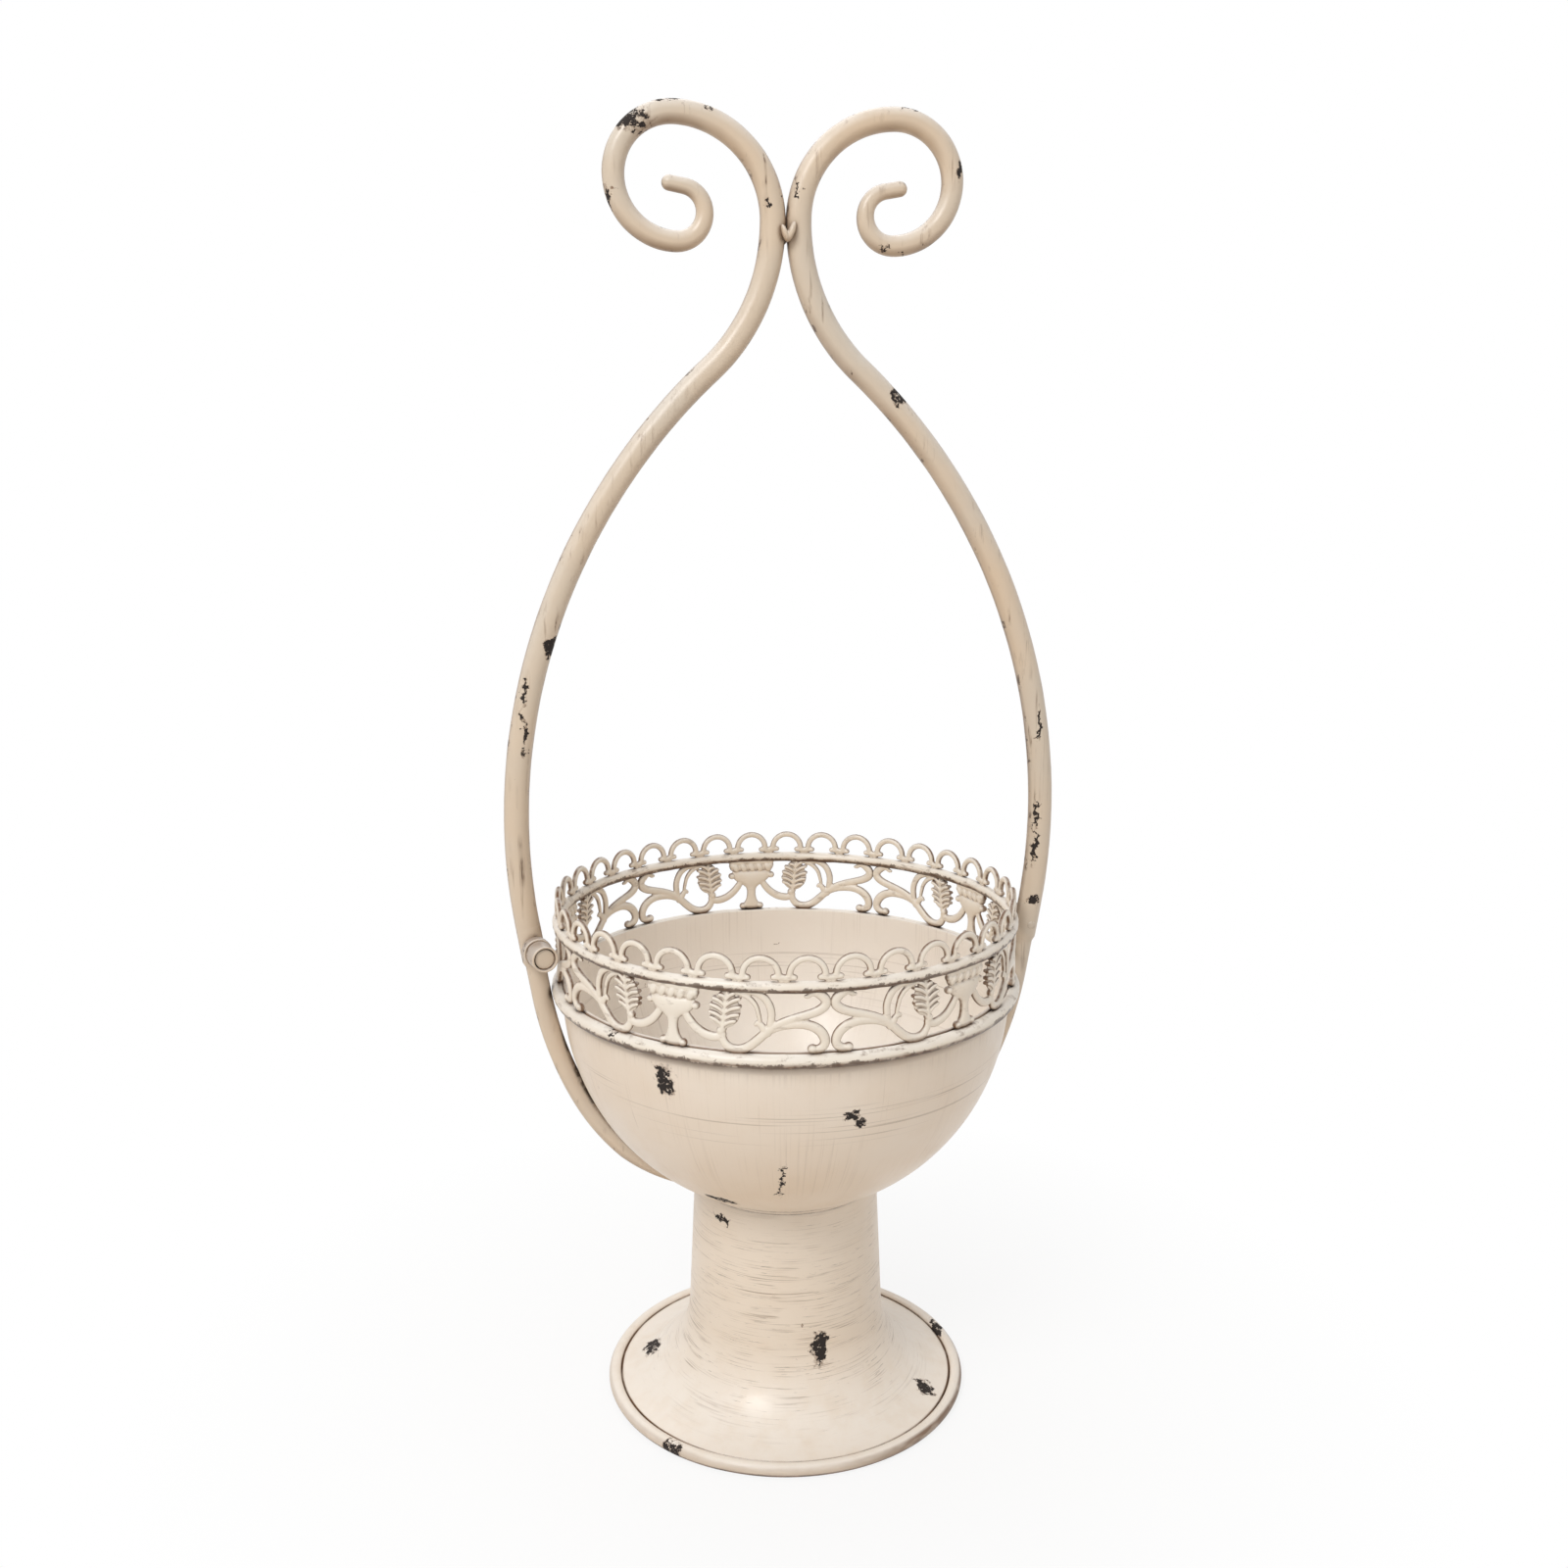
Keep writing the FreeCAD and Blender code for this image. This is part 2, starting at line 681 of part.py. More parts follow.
# Joint: a pin through the strap's hub, with a collar, a barrel and a sunk round
# cap on one side.
pin_place = joint + down * size("pin_drop")
turn_out = FreeCAD.Rotation(down, -size("pin_turn"))
pin_way = turn_out.multVec(Vector(0, 1, 0))
back_way = pin_way * -1
collar_reach = bar / 2 + size("collar_length")
barrel_start = pin_place + pin_way * collar_reach
barrel_length = size("barrel_length")
recess = size("barrel_recess")


def rod(diameter, length, place, way):
    return Part.makeCylinder(diameter / 2, length, place, way)


pin_bore = rod(size("pin_diameter"), bar + collar_reach, pin_place + back_way * bar, pin_way)
strap_solid = strap_solid.cut(pin_bore)
hub_core = rod(bar, size("hub_length"), joint, down)
collar = rod(size("collar_diameter"), collar_reach, pin_place, pin_way)
collar = collar.cut([hub_core, pin_bore])
collar_solid = max(collar.Solids, key=lambda part: part.Volume)
barrel = rod(size("barrel_diameter"), barrel_length, barrel_start, pin_way)
cap_bed = barrel_start + pin_way * (barrel_length - 2 * recess)
barrel = barrel.cut(rod(size("cap_diameter"), 2 * recess, cap_bed, pin_way))
barrel = barrel.cut(rod(size("pin_diameter"), barrel_length / 2, barrel_start, pin_way))
cap = rod(size("cap_diameter"), recess, cap_bed, pin_way)
pin_back = pin_place + back_way * (bar / 2)
pin = rod(size("pin_diameter"), bar / 2 + collar_reach + barrel_length / 2, pin_back, pin_way)

for label, shape in (
    ("handle_bar", bar_solid),
    ("strap", strap_solid),
    ("joint_collar", collar_solid),
    ("joint_barrel", barrel),
    ("joint_cap", cap),
    ("joint_pin", pin),
):
    solid_piece(label + "_right", shape)
    solid_piece(label + "_left", shape, half_turn)

# Weld: two short beads in the grooves just under the place where the bars touch,
# in front and behind.
weld_seat_share = 0.9
weld_radius = size("weld_diameter") / 2
weld_bottom = throat_centre.z - size("weld_length")
weld_side = weld_seat_share * math.sqrt((bar / 2 + weld_radius) ** 2 - (bar / 2) ** 2)
throat_rings = [
    Part.makeTorus(throat, bar / 2, flat(x, throat_centre.z), Vector(0, 1, 0))
    for x in (-throat_x, throat_x)
]
beads = []
for way in (-1, 1):
    bead = Part.makeCylinder(
        weld_radius, size("weld_length"), Vector(0, way * weld_side, weld_bottom)
    )
    beads.append(bead.cut(throat_rings))
solid_piece("crown_weld", Part.makeCompound(beads))

doc.recompute()
for thing in doc.Objects:
    if "Invalid" in thing.State or "Error" in thing.State:
        raise RuntimeError(f"{thing.Label} did not build: {thing.State}")
os.makedirs("parts", exist_ok=True)
for thing in pieces:
    if thing.Shape.isNull() or not thing.Shape.isValid():
        raise RuntimeError(f"{thing.Label} has no valid shape")
for thing in pieces:
    thing.Shape.exportStep(f"parts/{thing.Label}.step")
    print(thing.Label, len(thing.Shape.Solids), round(thing.Shape.Volume))
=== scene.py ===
import math

import bmesh
import bpy
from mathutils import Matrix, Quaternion, Vector, noise


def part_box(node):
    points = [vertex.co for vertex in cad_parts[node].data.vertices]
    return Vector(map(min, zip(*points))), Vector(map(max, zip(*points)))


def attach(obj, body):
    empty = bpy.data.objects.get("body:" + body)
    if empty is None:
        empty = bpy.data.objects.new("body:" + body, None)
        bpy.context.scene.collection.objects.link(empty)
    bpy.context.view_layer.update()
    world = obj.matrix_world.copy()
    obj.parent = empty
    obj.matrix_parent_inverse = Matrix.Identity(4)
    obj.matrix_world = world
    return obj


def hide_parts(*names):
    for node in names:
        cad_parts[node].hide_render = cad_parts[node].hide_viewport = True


bl_info = {
    "name": "Urn planter",
    "version": (1, 0, 0),
    "blender": (4, 5, 0),
    "location": "View3D > Sidebar > Planter",
    "description": "A painted metal urn planter with an openwork gallery and a scrolled handle",
    "category": "Object",
}

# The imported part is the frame: sizes that it knows are read from it. Lengths are in
# metres. The foot stands on z = 0 and the handle lies in the XZ plane.
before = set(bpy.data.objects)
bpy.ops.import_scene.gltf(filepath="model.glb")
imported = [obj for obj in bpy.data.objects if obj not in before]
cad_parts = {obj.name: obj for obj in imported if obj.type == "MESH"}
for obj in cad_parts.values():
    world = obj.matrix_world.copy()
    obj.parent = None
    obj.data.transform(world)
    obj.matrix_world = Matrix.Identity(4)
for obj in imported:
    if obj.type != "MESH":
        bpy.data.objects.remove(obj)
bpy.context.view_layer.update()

MM = 0.001
ALONG = Vector((1, 0, 0))
FORWARD = Vector((0, 1, 0))
UP = Vector((0, 0, 1))
# The gallery: its panels, the loops over each, where the first panel's middle stands
# and how far outside the bowl the middle of the openwork is.
PANELS = 5
LOOPS = 7
FIRST_PANEL_TURN = math.pi / 2
GALLERY_OVERHANG = 1.2 * MM


def reach(node):
    """The highest corner of a CAD node's box."""
    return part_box(node)[1]


def srgb(red, green, blue):
    """A colour as it is seen, from 0 to 255, as the linear one that Blender mixes."""
    parts = [value / 255 for value in (red, green, blue)]
    return tuple(p / 12.92 if p < 0.04045 else ((p + 0.055) / 1.055) ** 2.4 for p in parts)


def length_prop(name, default, description):
    return bpy.props.FloatProperty(
        name=name, default=default, description=description, min=0, unit="LENGTH", precision=5
    )


def colour_prop(name, colour, description):
    return bpy.props.FloatVectorProperty(
        name=name, default=colour, description=description, subtype="COLOR", size=3, min=0, max=1
    )


class VesselSizes(bpy.types.PropertyGroup):
    bowl_radius: length_prop("Bowl radius", reach("bowl").x, "Outside of the bowl")
    bowl_wall: length_prop("Bowl wall", 2.4 * MM, "Sheet of the bowl")
    rim_height: length_prop("Rim height", reach("bowl").z, "Top of the bowl over the floor")
    rim_upstand: length_prop("Rim upstand", 7 * MM, "Straight band above the half ball")
    neck_radius: length_prop("Neck radius", 49.5 * MM, "Top of the pedestal")
    neck_foot_radius: length_prop("Neck foot radius", 53 * MM, "Where the flare begins")
    flare_top: length_prop("Flare top", 47 * MM, "Height at which the flare begins")
    foot_radius: length_prop("Foot radius", reach("foot_lip").x, "Outside of the foot")
    foot_sheet: length_prop("Foot sheet height", 5 * MM, "Height of the flare's edge")
    pedestal_wall: length_prop("Pedestal wall", 2.2 * MM, "Sheet of the pedestal")
    lip_bead: length_prop("Lip bead", 7 * MM, "Roll round the foot")
    braze: length_prop("Braze", 2.4 * MM, "Fillet between the neck and the bowl")


class GallerySizes(bpy.types.PropertyGroup):
    height: length_prop("Gallery height", 32 * MM, "From the rim to the top ring")
    lower_bead: length_prop("Lower ring bead", 7.2 * MM, "Roll round the bowl's rim")
    seat: length_prop("Ring seat", 1.6 * MM, "How far the lower ring is let into the rim")
    top_bead: length_prop("Top ring bead", 6 * MM, "Round rail over the openwork")
    relief: length_prop("Relief", 1.55 * MM, "Half of the casting's depth")
    loop_stroke: length_prop("Loop stroke", 3.3 * MM, "Thickness of the loops")
    loop_rise: length_prop("Loop rise", 5 * MM, "Middle of the loops over the rail")
    grain: length_prop("Casting grain", 0.32 * MM, "Fineness of the cast pattern")


class HandleSizes(bpy.types.PropertyGroup):
    bar: length_prop("Bar", 12.7 * MM, "Round bar of the handle")
    scroll_bar: length_prop("Scroll bar", 10.2 * MM, "Bar at the outer scroll")
    tip_bar: length_prop("Bar tip", 7.6 * MM, "Bar at the end of the curl")
    joint_rise: length_prop("Joint rise", 32 * MM, "From the rim to where bar and strap meet")
    widest_rise: length_prop("Widest rise", 49 * MM, "From there to where the handle is widest")
    arch: length_prop("Arch radius", 310 * MM, "Long bend of the bar")
    throat: length_prop("Throat radius", 94 * MM, "Bend against the other bar")
    crown: length_prop("Crown radius", 48 * MM, "First bend of the scroll")
    outer: length_prop("Outer scroll", 28.5 * MM, "Second bend of the scroll")
    inner: length_prop("Inner scroll", 30 * MM, "Third bend of the scroll")
    curl: length_prop("Curl", 13.5 * MM, "Fourth bend of the scroll")
    curl_end: length_prop("Curl end", 12 * MM, "Last bend of the scroll")
    strap: length_prop("Strap", 10.4 * MM, "Round strap down the bowl")
    strap_tip: length_prop("Strap tip", 6 * MM, "End of the strap beside the neck")
    strap_tip_length: length_prop("Strap tip length", 38 * MM, "Where the strap thins")
    hub_length: length_prop("Hub length", 20 * MM, "Thick head of the strap")
    pin_drop: length_prop("Pin drop", 12 * MM, "Pin under the seam of bar and strap")
    collar: length_prop("Collar", 15 * MM, "Outside of the collar")
    barrel: length_prop("Barrel", 13.4 * MM, "Outside of the barrel")


class PaintColours(bpy.types.PropertyGroup):
    cream: colour_prop("Cream", srgb(238, 228, 213), "Paint of the gallery")
    bowl: colour_prop("Bowl", srgb(234, 220, 204), "Paint of the bowl")
    pedestal: colour_prop("Pedestal", srgb(232, 217, 199), "Paint of the pedestal")
    bar: colour_prop("Bar", srgb(208, 194, 176), "Paint of the bars")
    # Pale is also the painted highlight on upward faces and the painted light inside the bowl.
    pale: colour_prop("Pale", srgb(250, 246, 240), "Rubbed, lighter paint")
    # Tan is also the painted shade on downward faces.
    tan: colour_prop("Tan", srgb(218, 191, 160), "Older paint that shows through")
    # This brown is also the colour of the painted shade in corners and on undersides.
    wash_and_shade: colour_prop("Wash and shade", srgb(112, 78, 48), "Brown in the corners and brush lines")
    bare: colour_prop("Bare metal", srgb(36, 27, 22), "Chips down to the metal")


class CameraSizes(bpy.types.PropertyGroup):
    distance: length_prop("Distance", 0.805, "Camera from the middle of the bowl, flat")
    height: length_prop("Height", 0.5057, "Camera over the floor")
    lens: bpy.props.FloatProperty(name="Lens", default=36.335, description="In millimetres")
    turn: bpy.props.FloatProperty(
        name="Turn", default=math.radians(10), description="To the left", subtype="ANGLE"
    )
    pitch: bpy.props.FloatProperty(
        name="Pitch", default=0.207, description="Looking down", subtype="ANGLE"
    )


# Meshes.
def add_thing(name, data):
    """A new object at the origin."""
    thing = bpy.data.objects.new(name, data)
    bpy.context.scene.collection.objects.link(thing)
    return thing


def new_piece(name, spots, faces, material=None):
    """A smooth mesh object at the origin."""
    mesh = bpy.data.meshes.new(name)
    mesh.from_pydata([tuple(s) for s in spots], [], faces)
    mesh.validate()
    mesh.shade_smooth()
    if material is not None:
        mesh.materials.append(material)
    return add_thing(name, mesh)


def give(thing, slot, *nodes):
    """A finished piece rides on the part's one body and stands for its CAD nodes."""
    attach(thing, "root")
    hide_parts(*nodes)


def soften(corners, steps=5):
    """A closed outline with its corners rounded: each corner is (x, y, radius)."""
    line = []
    count = len(corners)
    for i, (x, y, radius) in enumerate(corners):
        spot = Vector((x, y))
        if radius == 0:
            line.append(spot)
            continue
        before = Vector(corners[i - 1][:2]) - spot
        after = Vector(corners[(i + 1) % count][:2]) - spot
        back = before.normalized() * min(radius, before.length / 2)
        on = after.normalized() * min(radius, after.length / 2)
        for step in range(steps + 1):
            part = step / steps
            line.append(spot + back * (1 - part) ** 2 + on * part**2)
    return line


def turned(name, outline, material, base=Vector(), way=UP, segments=192, sway=None):
    """A closed outline of (radius, height) turned round an axis."""
    side = way.orthogonal().normalized() if way != UP else ALONG
    other = way.cross(side)
    spots = []
    for i in range(segments):
        turn = 2 * math.pi * i / segments
        out = side * math.cos(turn) + other * math.sin(turn)
        for radius, height in outline:
            if sway is not None:
                radius, height = sway(turn, radius, height)
            spots.append(base + out * radius + way * height)
    count = len(outline)
    faces = []
    for i in range(segments):
        row = i * count
        following = (i + 1) % segments * count
        for j in range(count):
            k = (j + 1) % count
            faces.append((row + j, row + k, following + k, following + j))
    thing = new_piece(name, spots, faces, material)
    close_up(thing)
    return thing


def close_up(thing):
    """Merges what meets on the axis and turns the faces outwards."""
    work = bmesh.new()
    work.from_mesh(thing.data)
    bmesh.ops.remove_doubles(work, verts=work.verts, dist=1e-7)
    bmesh.ops.dissolve_degenerate(work, edges=work.edges, dist=1e-8)
    bmesh.ops.recalc_face_normals(work, faces=work.faces)
    work.to_mesh(thing.data)
    work.free()
    thing.data.shade_smooth()


def arc(centre, radius, start, stop, steps):
    """Places along an arc in the plane of (radius, height), or of X and Z."""
    turns = [start + (stop - start) * i / steps for i in range(steps + 1)]
    return [Vector(centre) + Vector((math.cos(t), math.sin(t))) * radius for t in turns]


def smooth_through(places, steps):
    """A curve through places of any number of values, with steps between two of them."""
    ends = [places[0], *places, places[-1]]

    def between(t, a, b, c, d):
        square = (2 * a - 5 * b + 4 * c - d) * t * t
        return 0.5 * (2 * b + (c - a) * t + square + (3 * b - a - 3 * c + d) * t**3)

    line = []
    for four in zip(ends, ends[1:], ends[2:], ends[3:]):
        for step in range(steps):
            line.append(tuple(between(step / steps, *values) for values in zip(*four)))
    line.append(tuple(places[-1]))
    return line


def plain_noise(*values, seed=0):
    return noise.noise(Vector(values) + Vector((seed * 7.31, seed * 3.17, seed * 5.71)))


def wave_round(turn, count, third, seed=0):
    """Noise that closes on itself round an axis: a larger count is finer."""
    return plain_noise(count * math.cos(turn), count * math.sin(turn), third, seed=seed)


# Node trees.
class Wiring:
    """Adds nodes to a tree and joins them."""

    def __init__(self, tree):
        self.tree = tree

    def add(self, kind, values=None, **settings):
        node = self.tree.nodes.new(kind)
        for setting, value in settings.items():
            setattr(node, setting, value)
        for socket, value in (values or {}).items():
            self.put(node.inputs[socket], value)
        return node

    def put(self, socket, value):
        """Gives a socket a value, or joins it to a socket or to a node's first output."""
        if isinstance(value, bpy.types.Node):
            value = value.outputs[0]
        if isinstance(value, bpy.types.NodeSocket):
            self.tree.links.new(value, socket)
        else:
            socket.default_value = value

    def group(self, name, values):
        """The outputs of a node group with its inputs filled in."""
        tree = bpy.data.node_groups[name]
        return self.add("ShaderNodeGroup", values, node_tree=tree).outputs

    def math(self, operation, first, *others):
        """An operation on one value, or on the first and each of the others in turn."""
        if not others:
            return self.add("ShaderNodeMath", {0: first}, operation=operation).outputs[0]
        for other in others:
            values = {0: first, 1: other}
            first = self.add("ShaderNodeMath", values, operation=operation).outputs[0]
        return first

    def plus(self, *values):
        return self.math("ADD", *values)

    def minus(self, *values):
        return self.math("SUBTRACT", *values)

    def times(self, *values):
        return self.math("MULTIPLY", *values)

    def most(self, *values):
        return self.math("MAXIMUM", *values)

    def vector(self, operation, *values):
        node = self.add("ShaderNodeVectorMath", dict(enumerate(values)), operation=operation)
        return node.outputs["Value" if operation in ("LENGTH", "DOT_PRODUCT") else "Vector"]

    def stretch(self, place, across, up):
        return self.vector("MULTIPLY", place, (across, across, up))

    def axes(self, vector):
        """The X, Y and Z of a vector."""
        return self.add("ShaderNodeSeparateXYZ", {0: vector}).outputs

    def facing(self):
        """The way that the shaded face looks."""
        return self.add("ShaderNodeNewGeometry").outputs["Normal"]

    def fade(self, value, low, high, start=0.0, stop=1.0):
        """From start to stop as value goes from low to high."""
        values = {"Value": value, "From Min": low, "From Max": high}
        values.update({"To Min": start, "To Max": stop})
        return self.add("ShaderNodeMapRange", values, clamp=True).outputs["Result"]

    def mix(self, share, first, second):
        node = self.add("ShaderNodeMix", {0: share, 6: first, 7: second}, data_type="RGBA")
        return node.outputs[2]

    def noise(self, place, scale, detail=3.0, roughness=0.5, output="Fac"):
        values = {"Vector": place, "Scale": scale, "Detail": detail, "Roughness": roughness}
        return self.add("ShaderNodeTexNoise", values).outputs[output]

    def streaks(self, place, across, up, detail=3.0, roughness=0.6):
        """Noise with its own fineness across the part's axis and up it."""
        return self.noise(self.stretch(place, across, up), 1.0, detail, roughness)

    def turned_streaks(self, place, around, up, detail=3.0, roughness=0.6):
        """Noise by the direction from the part's axis and the height, for turned pieces."""
        flat = self.vector("NORMALIZE", self.stretch(place, 1.0, 0.0))
        flat = self.stretch(flat, around, 0.0)
        rise = self.stretch(place, 0.0, up)
        return self.noise(self.vector("ADD", flat, rise), 1.0, detail, roughness)


def open_tree(name, kind, inputs, outputs):
    """A node tree with named sockets: each has its kind, or its kind and default."""
    tree = bpy.data.node_groups.new(name, kind)
    for side, sockets in (("INPUT", inputs), ("OUTPUT", outputs)):
        for label, what in sockets.items():
            what, *default = (what,) if isinstance(what, str) else what
            what = "NodeSocket" + what
            socket = tree.interface.new_socket(name=label, in_out=side, socket_type=what)
            if default:
                socket.default_value = default[0]
    net = Wiring(tree)
    start = net.add("NodeGroupInput")
    stop = net.add("NodeGroupOutput")
    return net, start.outputs, stop.inputs


def close_tree(net, given, wanted, last):
    """What each geometry tree ends with: real geometry in the given material."""
    real = net.add("GeometryNodeRealizeInstances", {0: last})
    values = {0: real, "Material": given["Material"]}
    painted = net.add("GeometryNodeSetMaterial", values)
    net.put(wanted["Geometry"], painted)
    return net.tree


def shaped_by(thing, tree, name, **values):
    """The plain mesh that a Geometry Nodes tree makes of an object, as a new object."""
    modifier = thing.modifiers.new("shape", "NODES")
    modifier.node_group = tree
    for item in tree.interface.items_tree:
        if item.in_out == "INPUT" and item.name in values:
            modifier[item.identifier] = values[item.name]
    thing.update_tag()
    depsgraph = bpy.context.evaluated_depsgraph_get()
    mesh = bpy.data.meshes.new_from_object(thing.evaluated_get(depsgraph))
    mesh.name = name
    thing.modifiers.remove(modifier)
    return add_thing(name, mesh)


def bar_tree():
    """A round bar along a path, as thick as the path says, slightly uneven."""
    inputs = {
        "Path": "Geometry",
        "Sides": ("Int", 28),
        "Unevenness": ("Float", 0.0002),
        "Grain": ("Float", 45.0),
        "Seed": ("Float", 1.0),
        "Material": "Material",
    }
    outputs = {"Geometry": "Geometry"}
    net, given, wanted = open_tree("bar_along_path", "GeometryNodeTree", inputs, outputs)
    radius = net.add("GeometryNodeInputRadius")
    values = {"Resolution": given["Sides"], "Radius": 1.0}
    circle = net.add("GeometryNodeCurvePrimitiveCircle", values)
    values = {0: given["Path"], 1: circle, "Scale": radius, "Fill Caps": True}
    tube = net.add("GeometryNodeCurveToMesh", values)
    place = net.add("GeometryNodeInputPosition")
    values = {"Vector": place, "Scale": given["Grain"], "W": given["Seed"], "Detail": 3.0}
    waves = net.add("ShaderNodeTexNoise", values, noise_dimensions="4D")
    height = net.times(net.minus(waves, 0.5), 2.0, given["Unevenness"])
    normal = net.add("GeometryNodeInputNormal")
    offset = net.add("ShaderNodeVectorMath", {0: normal, "Scale": height}, operation="SCALE")
    values = {0: tube, "Offset": offset}
    moved = net.add("GeometryNodeSetPosition", values)
    smooth = net.add("GeometryNodeSetShadeSmooth", {0: moved})
    return close_tree(net, given, wanted, smooth)


def wrap_tree():
    """A flat casting wrapped round the rim: its X runs along the rim and its Y faces out."""
    inputs = {
        "Casting": "Geometry",
        "Radius": ("Float", 0.1192),
        "Turn": "Float",
        "Height": ("Float", 0.235),
        "Material": "Material",
    }
    outputs = {"Geometry": "Geometry"}
    net, given, wanted = open_tree("casting_round_rim", "GeometryNodeTree", inputs, outputs)
    flat = net.axes(net.add("GeometryNodeInputPosition"))
    turn = net.minus(given["Turn"], net.math("DIVIDE", flat[0], given["Radius"]))
    out = net.plus(given["Radius"], flat[1])
    x = net.times(out, net.math("COSINE", turn))
    y = net.times(out, net.math("SINE", turn))
    z = net.plus(flat[2], given["Height"])
    spot = net.add("ShaderNodeCombineXYZ", {0: x, 1: y, 2: z})
    values = {0: given["Casting"], "Position": spot}
    moved = net.add("GeometryNodeSetPosition", values)
    smooth = net.add("GeometryNodeSetShadeSmooth", {0: moved})
    return close_tree(net, given, wanted, smooth)


def row_tree():
    """A row of one loop after another along X, each leaning a little."""
    inputs = {
        "Loop": "Geometry",
        "Count": ("Int", LOOPS),
        "Start": "Float",
        "Pitch": ("Float", 0.02),
        "Lean": ("Float", 0.03),
        "Seed": ("Int", 3),
        "Material": "Material",
    }
    outputs = {"Geometry": "Geometry"}
    net, given, wanted = open_tree("row_of_loops", "GeometryNodeTree", inputs, outputs)
    index = net.add("GeometryNodeInputIndex")
    across = net.plus(given["Start"], net.times(index, given["Pitch"]))
    spot = net.add("ShaderNodeCombineXYZ", {0: across})
    values = {"Count": given["Count"], "Position": spot}
    points = net.add("GeometryNodePoints", values)
    values = {2: net.times(given["Lean"], -1.0), 3: given["Lean"], "Seed": given["Seed"]}
    lean = net.add("FunctionNodeRandomValue", values, data_type="FLOAT")
    tilt = net.add("ShaderNodeCombineXYZ", {1: lean.outputs[1]})
    values = {"Points": points, "Instance": given["Loop"], "Rotation": tilt}
    placed = net.add("GeometryNodeInstanceOnPoints", values)
    return close_tree(net, given, wanted, placed)


# Paint. Each finish is cream paint over tan over dark metal, with brown wash and painted
# shade in the corners, brush lines, painted shade underneath and painted highlights on top.
# Chips are (middle, half size) in millimetres, in the frame.
BAR_CHIPS = [
    ((-118.2, -3.9, 411.1), (4, 4, 5)),
    ((-132, -5.8, 389), (1.4, 4, 6)),
    ((-133.5, -5.8, 368), (1, 4, 12)),
    ((134.5, -6.2, 366), (1.2, 3, 9)),
    ((57.1, -4, 533.4), (4.2, 4, 5.8)),
    ((134.7, -5.1, 317), (0.9, 4, 9)),
    ((134.5, -5.6, 298), (1.2, 4, 10)),
    ((134.6, -6.1, 269), (3, 6, 2.8)),
    ((-74, -1.5, 658), (9.5, 4.5, 6.2)),
    ((-60, -0.5, 668), (12, 3, 0.9)),
    ((-37, -2.5, 664), (1.8, 3, 1.6)),
    ((64, -1.5, 667), (10, 3, 0.9)),
    ((48, -3, 603.5), (2.4, 3, 0.9)),
    ((-9, -6, 622.5), (1, 3, 2.6)),
    ((-2, -6.2, 625.5), (1, 3, 2.2)),
    ((5.5, -4.9, 628.5), (1, 3, 3)),
    ((-86.8, -2, 619), (1.8, 4, 8.5)),
    ((85, -2.5, 640), (1.8, 4, 5.2)),
    ((56, -4.5, 600), (2.2, 3, 1.2)),
    ((-44, -5, 638), (1.8, 3, 2)),
]
RING_CHIPS = [
    ((-97, -74, 233.5), (3, 3, 1.2)),
    ((-88, -83, 229), (4.2, 3, 1.1)),
]
BOWL_CHIPS = [
    ((-74.1, -90.3, 215), (4.2, 6, 7.5)),
    ((11, -114.1, 200.6), (3.2, 6, 2.4)),
    ((15.5, -113.6, 196.2), (2.2, 6, 3)),
    ((-44.7, -61.5, 135.5), (8, 6, 4)),
    ((-18.5, -92, 161), (0.7, 20, 13)),
    ((96, -30, 165), (2.2, 6, 2.2)),
]
PEDESTAL_CHIPS = [
    ((-41, -32, 110.5), (5, 6, 2.2)),
    ((9, -53.3, 44), (4.5, 5, 8.5)),
    ((70, -43, 8), (5, 5.5, 5)),
    ((-73.5, 18.7, 12), (4.4, 8, 6.5)),
    ((-71, -67.9, 3), (5.6, 5.6, 4.2)),
    ((92.5, 16, 6), (2, 9, 3)),
]
# How far a place is where there is no chip, in half sizes of a chip.
NO_CHIP = 9.0


def chip_tree():
    """How far a place is from a chip, where 1 is the chip's edge."""
    inputs = {
        "Place": "Vector",
        "Middle": "Vector",
        "Half size": ("Vector", (0.003, 0.003, 0.003)),
        "Nearest": ("Float", NO_CHIP),
    }
    net, given, wanted = open_tree("chip", "ShaderNodeTree", inputs, {"Nearest": "Float"})
    apart = net.vector("SUBTRACT", given["Place"], given["Middle"])
    apart = net.vector("DIVIDE", apart, given["Half size"])
    nearest = net.math("MINIMUM", given["Nearest"], net.vector("LENGTH", apart))
    net.put(wanted["Nearest"], nearest)


